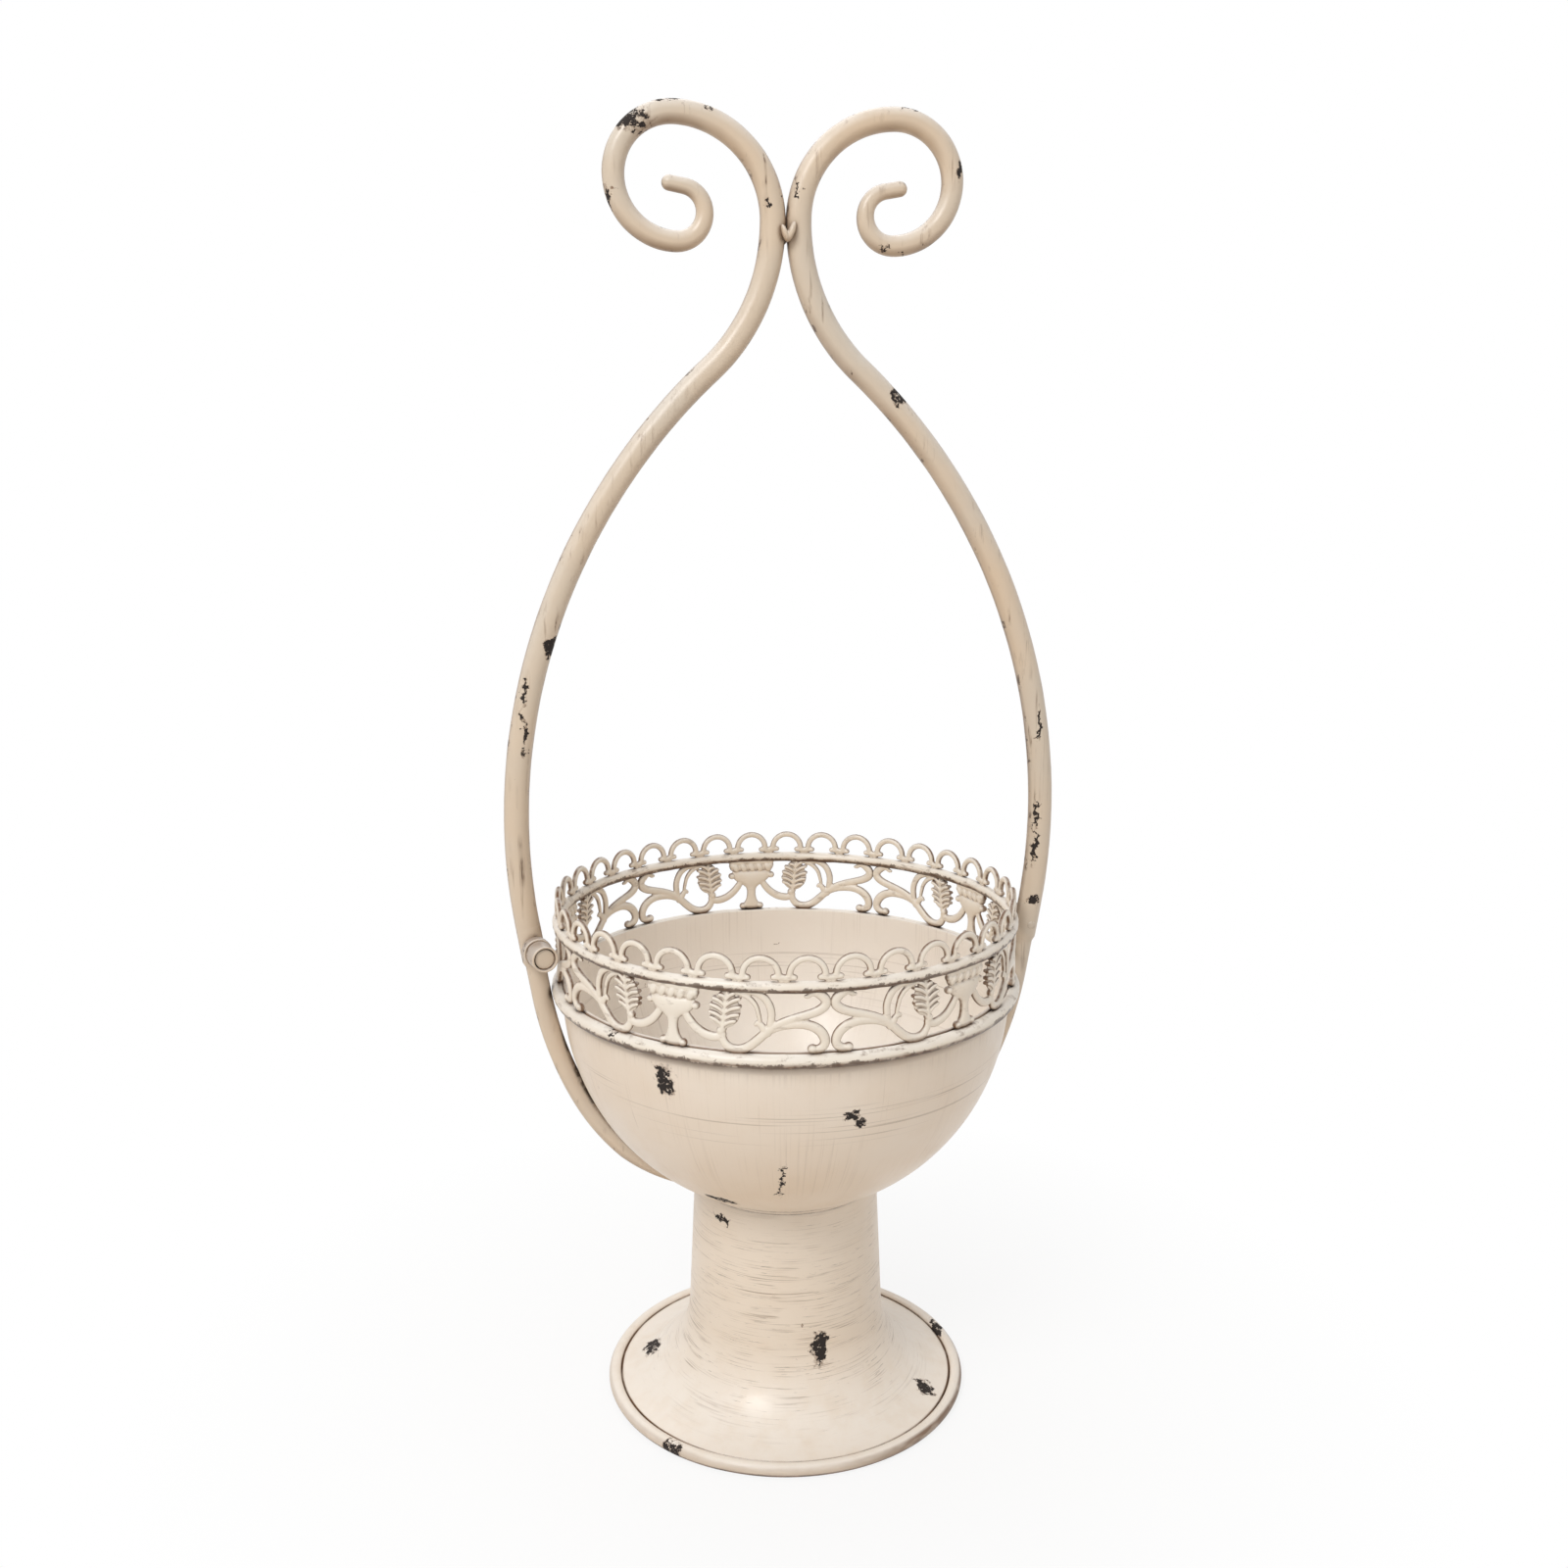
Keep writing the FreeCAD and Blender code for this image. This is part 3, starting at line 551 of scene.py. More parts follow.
def aged_paint_tree():
    """Cream paint with everything that age has done to it, and painted shade and highlights."""
    inputs = {
        "Place": "Vector",
        "Jagged place": "Vector",
        "Nearest chip": ("Float", NO_CHIP),
        "Lines": "Float",
        "Dark lines": "Float",
        "Tan": ("Float", 0.3),
        "Painted light": "Float",
        "Corner depth": ("Float", 0.003),
        "Corner wash and shade": ("Float", 0.7),
        "Specks": ("Float", 0.5),
        "Cream": "Color",
        "Pale": "Color",
        "Tan and shade": "Color",
        "Wash and shade": "Color",
        "Bare": "Color",
    }
    outputs = {"Colour": "Color", "Height": "Float", "Roughness": "Float"}
    net, given, wanted = open_tree("aged_paint", "ShaderNodeTree", inputs, outputs)
    place, jagged = given["Place"], given["Jagged place"]
    broad = net.noise(place, 13.0, 3.0)
    patchy = net.noise(place, 70.0, 4.0, 0.6)
    fine = net.noise(place, 420.0, 3.0, 0.55)
    up = net.axes(net.facing())[2]

    # Old paint shows in broad patches; the tan underneath, on downward faces, is painted shade.
    # Lighter paint on upward faces, in worn-looking patches, is a painted highlight.
    older_paint_and_shade = net.times(net.fade(broad, 0.35, 0.7), given["Tan"])
    older_paint_and_shade = net.plus(older_paint_and_shade, net.times(net.fade(up, 0.1, -0.9), given["Tan"]))
    colour = net.mix(older_paint_and_shade, given["Cream"], given["Tan and shade"])
    rubbing_and_top_highlight = net.times(net.fade(up, 0.1, 0.85), net.fade(patchy, 0.25, 0.62, 0.4), 0.7)
    colour = net.mix(rubbing_and_top_highlight, colour, given["Pale"])
    colour = net.mix(net.fade(patchy, 0.52, 0.75, 0.0, 0.12), colour, given["Tan and shade"])
    # Lighter paint where the finish asks for it: painted light.
    colour = net.mix(given["Painted light"], colour, given["Pale"])

    # The lines of each finish, with the painted shade that some of them carry.
    colour = net.mix(given["Lines"], colour, given["Wash and shade"])
    burnt = net.mix(0.4, given["Bare"], given["Wash and shade"])
    colour = net.mix(given["Dark lines"], colour, burnt)

    # Brown wash and painted shade darken the corners; the deepest corners get crumbs in the
    # bare metal's colour, which are partly painted shadow.
    values = {"Distance": given["Corner depth"]}
    corner = net.add("ShaderNodeAmbientOcclusion", values, samples=6).outputs["AO"]
    stain_and_shade = net.times(net.fade(corner, 0.85, 0.4), net.fade(fine, 0.3, 0.6, 0.5))
    colour = net.mix(net.times(stain_and_shade, given["Corner wash and shade"]), colour, given["Wash and shade"])
    crumbs = net.times(net.fade(corner, 0.56, 0.48), net.fade(patchy, 0.52, 0.56))
    colour = net.mix(net.times(crumbs, given["Corner wash and shade"]), colour, given["Bare"])

    # One cell in a few has a speck.
    values = {"Vector": jagged, "Scale": 60.0}
    cells = net.add("ShaderNodeTexVoronoi", values).outputs
    chance = net.axes(cells["Color"])[0]
    speck_size = net.times(net.fade(chance, 0.6, 1.0, 0.0, 0.11), given["Specks"])
    speck = net.math("LESS_THAN", cells["Distance"], speck_size)
    colour = net.mix(net.times(speck, 0.8), colour, given["Wash and shade"])

    # A chip has a ragged core of bare metal and a thin worn edge.
    nearest = given["Nearest chip"]
    worn = net.times(net.fade(nearest, 1.28, 1.05), net.fade(fine, 0.4, 0.5), 0.55)
    colour = net.mix(worn, colour, given["Wash and shade"])
    broken = net.fade(net.noise(jagged, 420.0, 2.0), 0.37, 0.39)
    core = net.times(net.fade(nearest, 1.01, 0.98), broken)
    net.put(wanted["Colour"], net.mix(core, colour, given["Bare"]))

    height = net.plus(net.times(fine, 0.25), net.times(patchy, 0.5))
    height = net.minus(height, net.times(core, 0.9), net.times(given["Lines"], 0.5))
    net.put(wanted["Height"], height)
    roughness = net.plus(net.fade(patchy, 0.3, 0.7, 0.29, 0.42), core)
    net.put(wanted["Roughness"], net.math("MINIMUM", roughness, 0.85))


# Each finish has its own lines: how much wash and painted shade and how much burnt brown
# lies on a place. A pair of values after a noise or a height is where its fade starts and
# where it ends.
def outward(net, place):
    """How much a face looks away from the part's axis: -1 is towards it."""
    way = net.vector("NORMALIZE", net.stretch(place, 1.0, 0.0))
    return net.vector("DOT_PRODUCT", way, net.facing())


def pedestal_lines(net, place, height):
    """Thin broken brush lines round the neck and flare, densest over the flare, and painted shade
    along the foot's roll.
    """
    gaps = net.streaks(place, 52.0, 210.0, 2.0, 0.5)
    zone = net.fade(height, 6 * MM, 24 * MM)
    zone = net.times(zone, net.fade(height, 118 * MM, 85 * MM, 0.35))
    brushed = net.fade(net.streaks(place, 26.0, 1900.0), 0.54, 0.66)
    lines = net.times(brushed, net.fade(gaps, 0.42, 0.58), zone, 0.52)
    dark = net.times(net.fade(net.streaks(place, 80.0, 2000.0), 0.665, 0.69), zone, 0.58)
    # Brown wash and painted shade in the channel along the foot's roll, kept weaker at the
    # front as a painted highlight.
    sizes = bpy.context.scene.vessel_sizes
    foot = sizes.foot_radius
    flat = net.stretch(place, 1.0, 0.0)
    out = net.vector("LENGTH", flat)
    way = net.axes(net.vector("NORMALIZE", flat))
    apart = net.math("ABSOLUTE", net.minus(out, foot - sizes.lip_bead))
    groove_wash_and_shade = net.times(net.fade(apart, 0.8 * MM, 0.3 * MM), net.fade(gaps, 0.35, 0.5, 0.45))
    groove_wash_and_shade = net.times(groove_wash_and_shade, net.fade(way[1], -0.92, -0.55, 0.35))
    # Painted shade on the roll's outer edge, most of it underneath and on the right, away
    # from the key light.
    edge = net.times(net.fade(out, foot - 1.8 * MM, foot - 0.7 * MM), 0.9)
    low = net.fade(height, 2.6 * MM, 1.6 * MM)
    right = net.times(net.fade(way[0], 0.1, 0.6, 0.25), net.fade(gaps, 0.3, 0.5, 0.5))
    return net.most(lines, groove_wash_and_shade, net.times(net.most(low, right), edge)), dark


def bowl_lines(net, place, height):
    """Faint strokes down the bowl, hair lines round it, and brown and painted shadow under the ring.
    """
    down = net.turned_streaks(place, 95.0, 14.0)
    gaps = net.noise(place, 26.0, 2.0)
    band = net.fade(height, 178 * MM, 190 * MM)
    band = net.times(band, net.fade(height, 214 * MM, 204 * MM))
    strokes = net.times(net.fade(down, 0.56, 0.70), net.fade(gaps, 0.42, 0.6), 0.16)
    hairs = net.times(net.fade(net.streaks(place, 7.0, 900.0), 0.60, 0.66), band, 0.34)
    # Darker just under the ring, on the outside only: brown marks and the ring's painted shadow.
    grime_and_ring_shadow = net.fade(height, 223.5 * MM, 228.5 * MM)
    grime_and_ring_shadow = net.times(grime_and_ring_shadow, net.fade(gaps, 0.3, 0.5, 0.5), 0.75)
    rub = net.times(net.fade(height, 216 * MM, 226 * MM), net.fade(down, 0.5, 0.64, 0.0, 0.16))
    grime_and_ring_shadow = net.times(net.most(grime_and_ring_shadow, rub), net.fade(outward(net, place), 0.0, 0.3))
    dark = net.times(net.fade(down, 0.72, 0.75), band, 0.35)
    return net.most(strokes, hairs, grime_and_ring_shadow), dark


def casting_lines(net, place, height):
    """Brown left in the sides of the cast strokes and kept off their faces, partly painted shade,
    and painted shade at the casting's foot.
    """
    marks = net.times(net.fade(net.streaks(place, 120.0, 300.0, 4.0), 0.60, 0.70), 0.3)
    patches = net.noise(place, 240.0, 3.0, 0.6)
    # Faces that turn away from the outward direction get brown wash and painted shade.
    sides = net.fade(net.math("ABSOLUTE", outward(net, place)), 0.80, 0.30)
    sides = net.times(sides, net.fade(patches, 0.3, 0.6, 0.55))
    # Painted shade at the foot of the casting over the lower ring, with dark crumbs in it.
    low = net.fade(height, 237.5 * MM, 235.5 * MM, 0.0, 0.8)
    dark = net.times(net.fade(patches, 0.62, 0.66), low)
    return net.most(marks, sides, low), dark


def ring_lines(net, place, height):
    """Painted shade in brown brush marks on the undersides of the rings, and a ragged dark band
    there, part dashes of bare metal and part painted shade.
    """
    up = net.axes(net.facing())[2]
    marks = net.turned_streaks(place, 12.0, 420.0, 4.0)
    dashes = net.turned_streaks(place, 15.0, 110.0, 5.0, 0.8)
    # Brushed brown on the undersides: painted shade.
    wash_and_shade = net.times(net.fade(up, 0.1, -0.3), net.fade(marks, 0.35, 0.6, 0.45))
    streaks = net.times(net.fade(marks, 0.54, 0.64), net.fade(dashes, 0.45, 0.6, 0.0, 0.55))
    # A ragged dark band underneath: dashes of bare metal and painted shade.
    ragged = net.plus(up, net.times(net.minus(dashes, 0.5), 4.6))
    dark = net.times(net.fade(ragged, -0.17, -0.28), net.fade(up, 0.34, 0.16), 0.76)
    return net.most(wash_and_shade, streaks), dark


def bar_lines(net, place, height):
    """Long scratches along the bars, painted shade underneath and at the sides, and crumbs at the
    sides.
    """
    scratch = net.streaks(place, 340.0, 18.0, 4.0)
    gaps = net.noise(place, 42.0, 2.0)
    way = net.axes(net.facing())
    front = net.math("ABSOLUTE", way[1])
    lines = net.times(net.fade(scratch, 0.56, 0.70), net.fade(gaps, 0.42, 0.62), 0.6)
    # Darker underneath: painted shade.
    underside_shade = net.times(net.fade(way[2], -0.2, -0.85), net.fade(gaps, 0.3, 0.6, 0.3, 0.7))
    # Darker where a face turns away from the front and back: painted shade along the bar's edges.
    edge = net.times(net.fade(front, 0.52, 0.08), net.fade(gaps, 0.3, 0.6, 0.34, 0.66))
    bare = net.fade(gaps, 0.52, 0.56)
    dark = net.times(net.fade(scratch, 0.67, 0.70), bare)
    crumbs = net.fade(net.noise(place, 150.0, 4.0, 0.75), 0.575, 0.59)
    crumbs = net.times(crumbs, net.fade(front, 0.55, 0.35), bare)
    return net.most(lines, underside_shade, edge), net.times(net.most(dark, crumbs), 0.88)


def make_paint(name, base, lines_of, chips, tan, corner_depth, corner_wash_and_shade, specks, inside=0.0):
    """One finish: its own base colour, brush lines and chips on the common paint."""
    colours = bpy.context.scene.paint_colours
    material = bpy.data.materials.new(name)
    material.use_nodes = True
    net = Wiring(material.node_tree)
    shader = material.node_tree.nodes["Principled BSDF"]
    place = net.add("ShaderNodeTexCoord").outputs["Object"]
    height = net.axes(place)[2]
    shake = net.vector("SUBTRACT", net.noise(place, 250.0, 3.0, 0.6, "Color"), (0.5, 0.5, 0.5))
    jagged = net.vector("ADD", place, net.stretch(shake, 12 * MM, 12 * MM))
    nearest = NO_CHIP
    for chip in chips:
        middle, half_size = (tuple(value * MM for value in size) for size in chip)
        values = {"Place": jagged, "Middle": middle, "Half size": half_size, "Nearest": nearest}
        nearest = net.group("chip", values)["Nearest"]
    lines, dark = lines_of(net, place, height)
    inside_light_share = 0.0
    if inside > 0:
        # The inside is painted lighter, as painted light in the bowl's hollow, and the chips of the
        # outside stay off it.
        inward = net.fade(outward(net, place), 0.0, -0.3)
        inside_light_share = net.times(inward, inside)
        nearest = net.plus(nearest, net.times(inward, NO_CHIP))
    values = {
        "Place": place,
        "Jagged place": jagged,
        "Nearest chip": nearest,
        "Lines": lines,
        "Dark lines": dark,
        "Tan": tan,
        "Painted light": inside_light_share,
        "Corner depth": corner_depth,
        "Corner wash and shade": corner_wash_and_shade,
        "Specks": specks,
        "Cream": (*getattr(colours, base), 1),
        "Pale": (*colours.pale, 1),
        "Tan and shade": (*colours.tan, 1),
        "Wash and shade": (*colours.wash_and_shade, 1),
        "Bare": (*colours.bare, 1),
    }
    made = net.group("aged_paint", values)
    values = {"Strength": 0.5, "Distance": 0.5 * MM, "Height": made["Height"]}
    net.put(shader.inputs["Normal"], net.add("ShaderNodeBump", values).outputs["Normal"])
    net.put(shader.inputs["Base Color"], made["Colour"])
    net.put(shader.inputs["Roughness"], made["Roughness"])
    shader.inputs["Specular IOR Level"].default_value = 0.5


def paint(name):
    return bpy.data.materials[name]


class PLANTER_OT_paint(bpy.types.Operator):
    """Mixes the six finishes of the planter"""

    bl_idname = "planter.paint"
    bl_label = "Paint"

    def execute(self, context):
        chip_tree()
        aged_paint_tree()
        # Base colour, lines, chips, then the shares of tan (also the painted shade on downward
        # faces), corner depth and wash with painted shade, specks, and for the bowl painted light
        # inside.
        finishes = {
            "aged_pedestal": ("pedestal", pedestal_lines, PEDESTAL_CHIPS, 0.22, 4 * MM, 0.7, 0.5),
            "aged_bowl": ("bowl", bowl_lines, BOWL_CHIPS, 0.36, 5 * MM, 0.6, 0.5, 0.5),
            "aged_casting": ("cream", casting_lines, [], 0.25, 3 * MM, 0.85, 0.3),
            "aged_ring": ("cream", ring_lines, RING_CHIPS, 0.2, 3.5 * MM, 0.8, 0.4),
            "aged_bar": ("bar", bar_lines, BAR_CHIPS, 0.6, 4 * MM, 0.8, 0.7),
            "aged_joint": ("bar", bar_lines, [], 0.3, 2.8 * MM, 1.0, 0.4),
        }
        for name, values in finishes.items():
            make_paint(name, *values)
        return {"FINISHED"}


def tangent_arc(start, direction, stop, steps):
    """Places on the arc that leaves start in a direction and ends at stop."""
    start, stop = Vector(start), Vector(stop)
    side = Vector((-direction.y, direction.x)).normalized()
    across = stop - start
    radius = across.length_squared / (2 * across.dot(side))
    centre = start + side * radius
    first = math.atan2(start.y - centre.y, start.x - centre.x)
    last = math.atan2(stop.y - centre.y, stop.x - centre.x)
    if last - first > math.pi:
        last -= 2 * math.pi
    if first - last > math.pi:
        last += 2 * math.pi
    return arc(centre, abs(radius), first, last, steps)


class PLANTER_OT_pedestal(bpy.types.Operator):
    """Turns the hollow pedestal, its rolled foot lip and the braze under the bowl"""

    bl_idname = "planter.pedestal"
    bl_label = "Pedestal"

    def execute(self, context):
        sizes = context.scene.vessel_sizes
        bowl_centre = sizes.rim_height - sizes.rim_upstand
        neck, wall = sizes.neck_radius, sizes.pedestal_wall
        seat = bowl_centre - math.sqrt(sizes.bowl_radius**2 - neck**2)
        inner_seat = bowl_centre - math.sqrt(sizes.bowl_radius**2 - (neck - wall) ** 2)
        edge = sizes.foot_radius - sizes.lip_bead
        flare = Vector((sizes.neck_foot_radius, sizes.flare_top))
        down = Vector((sizes.neck_foot_radius - neck, sizes.flare_top - seat))
        steps, neck_steps = 40, 24
        outer = tangent_arc(flare, down, (edge, sizes.foot_sheet), steps)
        inner_flare = (sizes.neck_foot_radius - wall, sizes.flare_top)
        inner = tangent_arc(inner_flare, down, (edge, sizes.foot_sheet - wall), steps)
        top, inner_top = Vector((neck, seat)), Vector((neck - wall, inner_seat))
        outline = [top.lerp(outer[0], i / neck_steps) for i in range(neck_steps)]
        outline += [*outer, *reversed(inner)]
        outline += [inner[0].lerp(inner_top, i / neck_steps) for i in range(1, neck_steps + 1)]
        coat = paint("aged_pedestal")
        pedestal = turned("painted_pedestal", outline, coat, segments=256)
        give(pedestal, "pedestal_paint", "pedestal")

        bead = sizes.lip_bead / 2
        middle = (sizes.foot_radius - bead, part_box("foot_lip")[1].z - bead)
        ring = arc(middle, bead, math.pi, 3 * math.pi, 40)[:-1]

        def stand(turn, radius, height):
            wave = 0.12 * MM * wave_round(turn, 3, height / MM / 4)
            return radius + min(wave, sizes.foot_radius - radius), max(height, 0)

        lip = turned("painted_foot_lip", ring, coat, segments=256, sway=stand)
        give(lip, "pedestal_paint", "foot_lip")

        fillet = arc((neck, seat), sizes.braze / 2, 0, 2 * math.pi, 16)[:-1]

        def flow(turn, radius, height):
            return neck + (radius - neck) * (1 + 0.25 * wave_round(turn, 14, 1)), height

        braze = turned("neck_fillet", fillet, coat, segments=256, sway=flow)
        give(braze, "pedestal_paint", "neck_braze")
        return {"FINISHED"}


class PLANTER_OT_bowl(bpy.types.Operator):
    """Turns the bowl, a half ball of sheet with a short upstand"""

    bl_idname = "planter.bowl"
    bl_label = "Bowl"

    def execute(self, context):
        sizes = context.scene.vessel_sizes
        radius, wall = sizes.bowl_radius, sizes.bowl_wall
        centre = sizes.rim_height - sizes.rim_upstand
        outer = arc((0, centre), radius, -math.pi / 2, 0, 72)
        inner = arc((0, centre), radius - wall, 0, -math.pi / 2, 72)
        top, rounding = sizes.rim_height, 0.7 * MM
        rim = [(radius, centre, 0), (radius, top, rounding)]
        rim += [(radius - wall, top, rounding), (radius - wall, centre, 0)]

        def beaten(turn, out, height):
            share = math.sqrt(min(max(out / radius, 0), 1))
            wave = wave_round(turn, 2.2, height / MM / 45, seed=2)
            return out + 0.22 * MM * share * (wave - 0.5), height

        outline = [*outer, *soften(rim)[1:-1], *inner]
        bowl = turned("painted_bowl", outline, paint("aged_bowl"), segments=256, sway=beaten)
        give(bowl, "bowl_paint", "bowl")
        return {"FINISHED"}


class PLANTER_OT_rings(bpy.types.Operator):
    """Rolls the two rings of the gallery"""

    bl_idname = "planter.rings"
    bl_label = "Rings"

    def execute(self, context):
        vessel = context.scene.vessel_sizes
        sizes = context.scene.gallery_sizes
        low, high = sizes.lower_bead / 2, sizes.top_bead / 2
        low_middle = (vessel.bowl_radius + low - sizes.seat, vessel.rim_height - low)
        high_middle = (vessel.bowl_radius + GALLERY_OVERHANG, vessel.rim_height + sizes.height)
        # Ring, middle, bead, sides, then the waves: seed, fine and broad count, depth, mean.
        rings = [
            ("lower_ring", low_middle, low, 32, 4, 20, 6, 0.045, 0.8),
            ("top_ring", high_middle, high, 28, 6, 24, 7, 0.07, 0.85),
        ]
        for node, middle, bead, sides, seed, fine, broad, depth, mean in rings:
            roll, level = middle

            def hand_rolled(turn, radius, height):
                way = Vector((radius - roll, height - level))
                wave = wave_round(turn, fine, 300 * way.y, seed)
                wave += wave_round(turn, broad, 100 * way.y, seed + 1)
                grown = way * (1 + depth * (wave - mean))
                return roll + grown.x, level + grown.y

            outline = arc(middle, bead, 0, 2 * math.pi, sides)[:-1]
            coat = paint("aged_ring")
            ring = turned(f"rolled_{node}", outline, coat, segments=480, sway=hand_rolled)
            give(ring, "gallery_paint", node)
        return {"FINISHED"}


# The gallery's pattern. Places are shares of half a panel's length, from the urn at 0
# to the knot at 1, and of the height from the rim to the top ring; the third value
# is the stroke's half width in millimetres.
STROKES = {
    "vine": [
        (0.080, 0.560, 1.7), (0.112, 0.440, 2.1), (0.155, 0.330, 2.2), (0.208, 0.250, 2.3),
        (0.262, 0.215, 2.3), (0.305, 0.220, 2.1), (0.332, 0.255, 1.9), (0.326, 0.300, 1.7),
    ],
    "stem": [
        (0.330, 0.235, 1.8), (0.342, 0.145, 2.1), (0.375, 0.070, 2.3), (0.420, 0.045, 2.4),
        (0.465, 0.065, 2.4), (0.510, 0.125, 2.3), (0.550, 0.205, 2.3), (0.595, 0.305, 2.2),
        (0.645, 0.400, 2.1), (0.710, 0.480, 2.1), (0.780, 0.540, 2.1), (0.850, 0.585, 2.2),
        (0.912, 0.632, 2.3), (0.956, 0.695, 2.4), (0.972, 0.770, 2.4), (0.958, 0.840, 2.4),
        (0.930, 0.895, 2.3), (0.900, 0.950, 2.0),
    ],
    "horn_tip": [
        (0.935, 0.890, 1.9), (0.905, 0.912, 1.8), (0.880, 0.905, 1.5), (0.862, 0.868, 1.2),
        (0.846, 0.862, 0.9),
    ],
    "scroll": [
        (0.585, 0.260, 1.0), (0.640, 0.350, 1.4), (0.700, 0.415, 1.8), (0.765, 0.445, 2.1),
        (0.830, 0.448, 2.3), (0.885, 0.415, 2.4), (0.928, 0.352, 2.5), (0.955, 0.272, 2.5),
        (0.966, 0.185, 2.4), (0.956, 0.112, 2.3), (0.930, 0.068, 2.2), (0.900, 0.060, 2.1),
    ],
    "arch": [
        (0.470, 0.950, 1.8), (0.540, 0.920, 1.9), (0.595, 0.840, 1.9), (0.626, 0.720, 1.9),
        (0.637, 0.590, 1.9), (0.630, 0.440, 1.8),
    ],
    "arch_inside": [
        (0.400, 0.915, 1.2), (0.455, 0.890, 1.3), (0.505, 0.825, 1.3), (0.540, 0.725, 1.2),
        (0.556, 0.610, 1.1), (0.566, 0.500, 1.0),
    ],
    "spur": [
        (0.612, 0.310, 1.9), (0.590, 0.370, 1.9), (0.572, 0.430, 1.7), (0.552, 0.460, 1.3),
        (0.540, 0.440, 1.0),
    ],
    "leaf_stalk": [(0.318, 0.240, 1.5), (0.330, 0.330, 1.4), (0.338, 0.420, 1.2)],
}
# Small balls at the ends of strokes: place, then half width in millimetres.
BALLS = [(0.888, 0.072, 2.5), (0.322, 0.318, 2.2), (0.333, 0.345, 2.0)]
LEAF_BASE = (0.334, 0.36)
LEAF_TIP = (0.366, 0.95)
LEAF_HALF_WIDTH = 7.3
LEAF_RIDGES = 5
# A stroke of this half width, in millimetres, is as deep as the relief, and the others
# in proportion. The round ones are as deep as they are wide.
WIDE_STROKE = 2.1
ROUND_STROKES = ("arch_inside", "leaf_stalk")
# The urn in the middle: (height share, half width in mm, half depth in mm).
URN_SECTIONS = [
    (0.000, 4.4, 1.2), (0.030, 5.2, 1.7), (0.080, 5.2, 2.0), (0.130, 4.3, 2.0),
    (0.190, 3.2, 1.9), (0.280, 2.6, 1.8), (0.360, 2.6, 1.8), (0.420, 3.2, 1.9),
    (0.470, 5.0, 2.1), (0.520, 7.8, 2.4), (0.570, 9.9, 2.6), (0.620, 11.2, 2.6),
    (0.670, 11.8, 2.4), (0.710, 11.9, 2.0), (0.740, 11.4, 1.2),
]


def oval(place, side, wide, deep, sides):
    """The spots of an oval section: wide is half its width and deep half its depth."""
    turns = [2 * math.pi * k / sides for k in range(sides)]
    return [place + side * (wide * math.cos(t)) + FORWARD * (deep * math.sin(t)) for t in turns]


# A rounded end goes this share of the way to its pole, so that its last face has an area.
NEAR_POLE = 0.98


def tube(line, depth_share, sides=12):
    """Spots and faces of a closed stroke in the XZ plane along (x, z, half width)."""
    places = [Vector((x, 0, z)) for x, z, _ in line]
    sections = []
    for i, place in enumerate(places):
        way = places[min(i + 1, len(places) - 1)] - places[max(i - 1, 0)]
        sections.append((place, line[i][2], way.normalized()))
    steps = 4
    turns = [step / steps * math.pi / 2 * NEAR_POLE for step in range(1, steps + 1)]
    caps = []
    for (place, width, way), sign in ((sections[0], -1), (sections[-1], 1)):
        slides = [place + way * (sign * width) * math.sin(t) for t in turns]
        caps.append([(slide, width * math.cos(t), way) for slide, t in zip(slides, turns)])
    sections = [*reversed(caps[0]), *sections, *caps[1]]
    spots = []
    for place, width, way in sections:
        side = Vector((way.z, 0, -way.x))
        spots += oval(place, side, width, width * depth_share, sides)
    return spots, tube_faces(len(sections), sides)


def tube_faces(count, sides):
    faces = []
    for i in range(count - 1):
        for k in range(sides):
            j = (k + 1) % sides
            row, following = i * sides, (i + 1) * sides
            faces.append((row + k, row + j, following + j, following + k))
    faces.append(tuple(reversed(range(sides))))
    faces.append(tuple((count - 1) * sides + k for k in range(sides)))
    return faces


def join(parts):
    """Several closed shells as one list of spots and one of faces."""
    spots, faces = [], []
    for part_spots, part_faces in parts:
        start = len(spots)
        spots.extend(part_spots)
        faces.extend(tuple(start + k for k in face) for face in part_faces)
    return spots, faces


def stack(sections, height, sides=28):
    """A body of oval sections, one over another, all in millimetres."""
    spots = []
    for share, wide, deep in sections:
        spots += oval(Vector((0, 0, share * height)), ALONG, wide, deep, sides)
    return spots, tube_faces(len(sections), sides)


def knob(x, z, wide, tall, deep, lean=0.0, forward=0.0):
    """A small rounded lump of the pattern."""
    rows, sides = 8, 14
    spots = []
    for i in range(rows):
        rise = math.pi * (i + 0.5) / rows - math.pi / 2
        for k in range(sides):
            turn = 2 * math.pi * k / sides
            across = wide * math.cos(rise) * math.cos(turn)
            up = tall * math.sin(rise)
            spot_x = x + across * math.cos(lean) - up * math.sin(lean)
            spot_y = forward + deep * math.cos(rise) * math.sin(turn)
            spot_z = z + across * math.sin(lean) + up * math.cos(lean)
            spots.append(Vector((spot_x, spot_y, spot_z)))
    return spots, tube_faces(rows, sides)


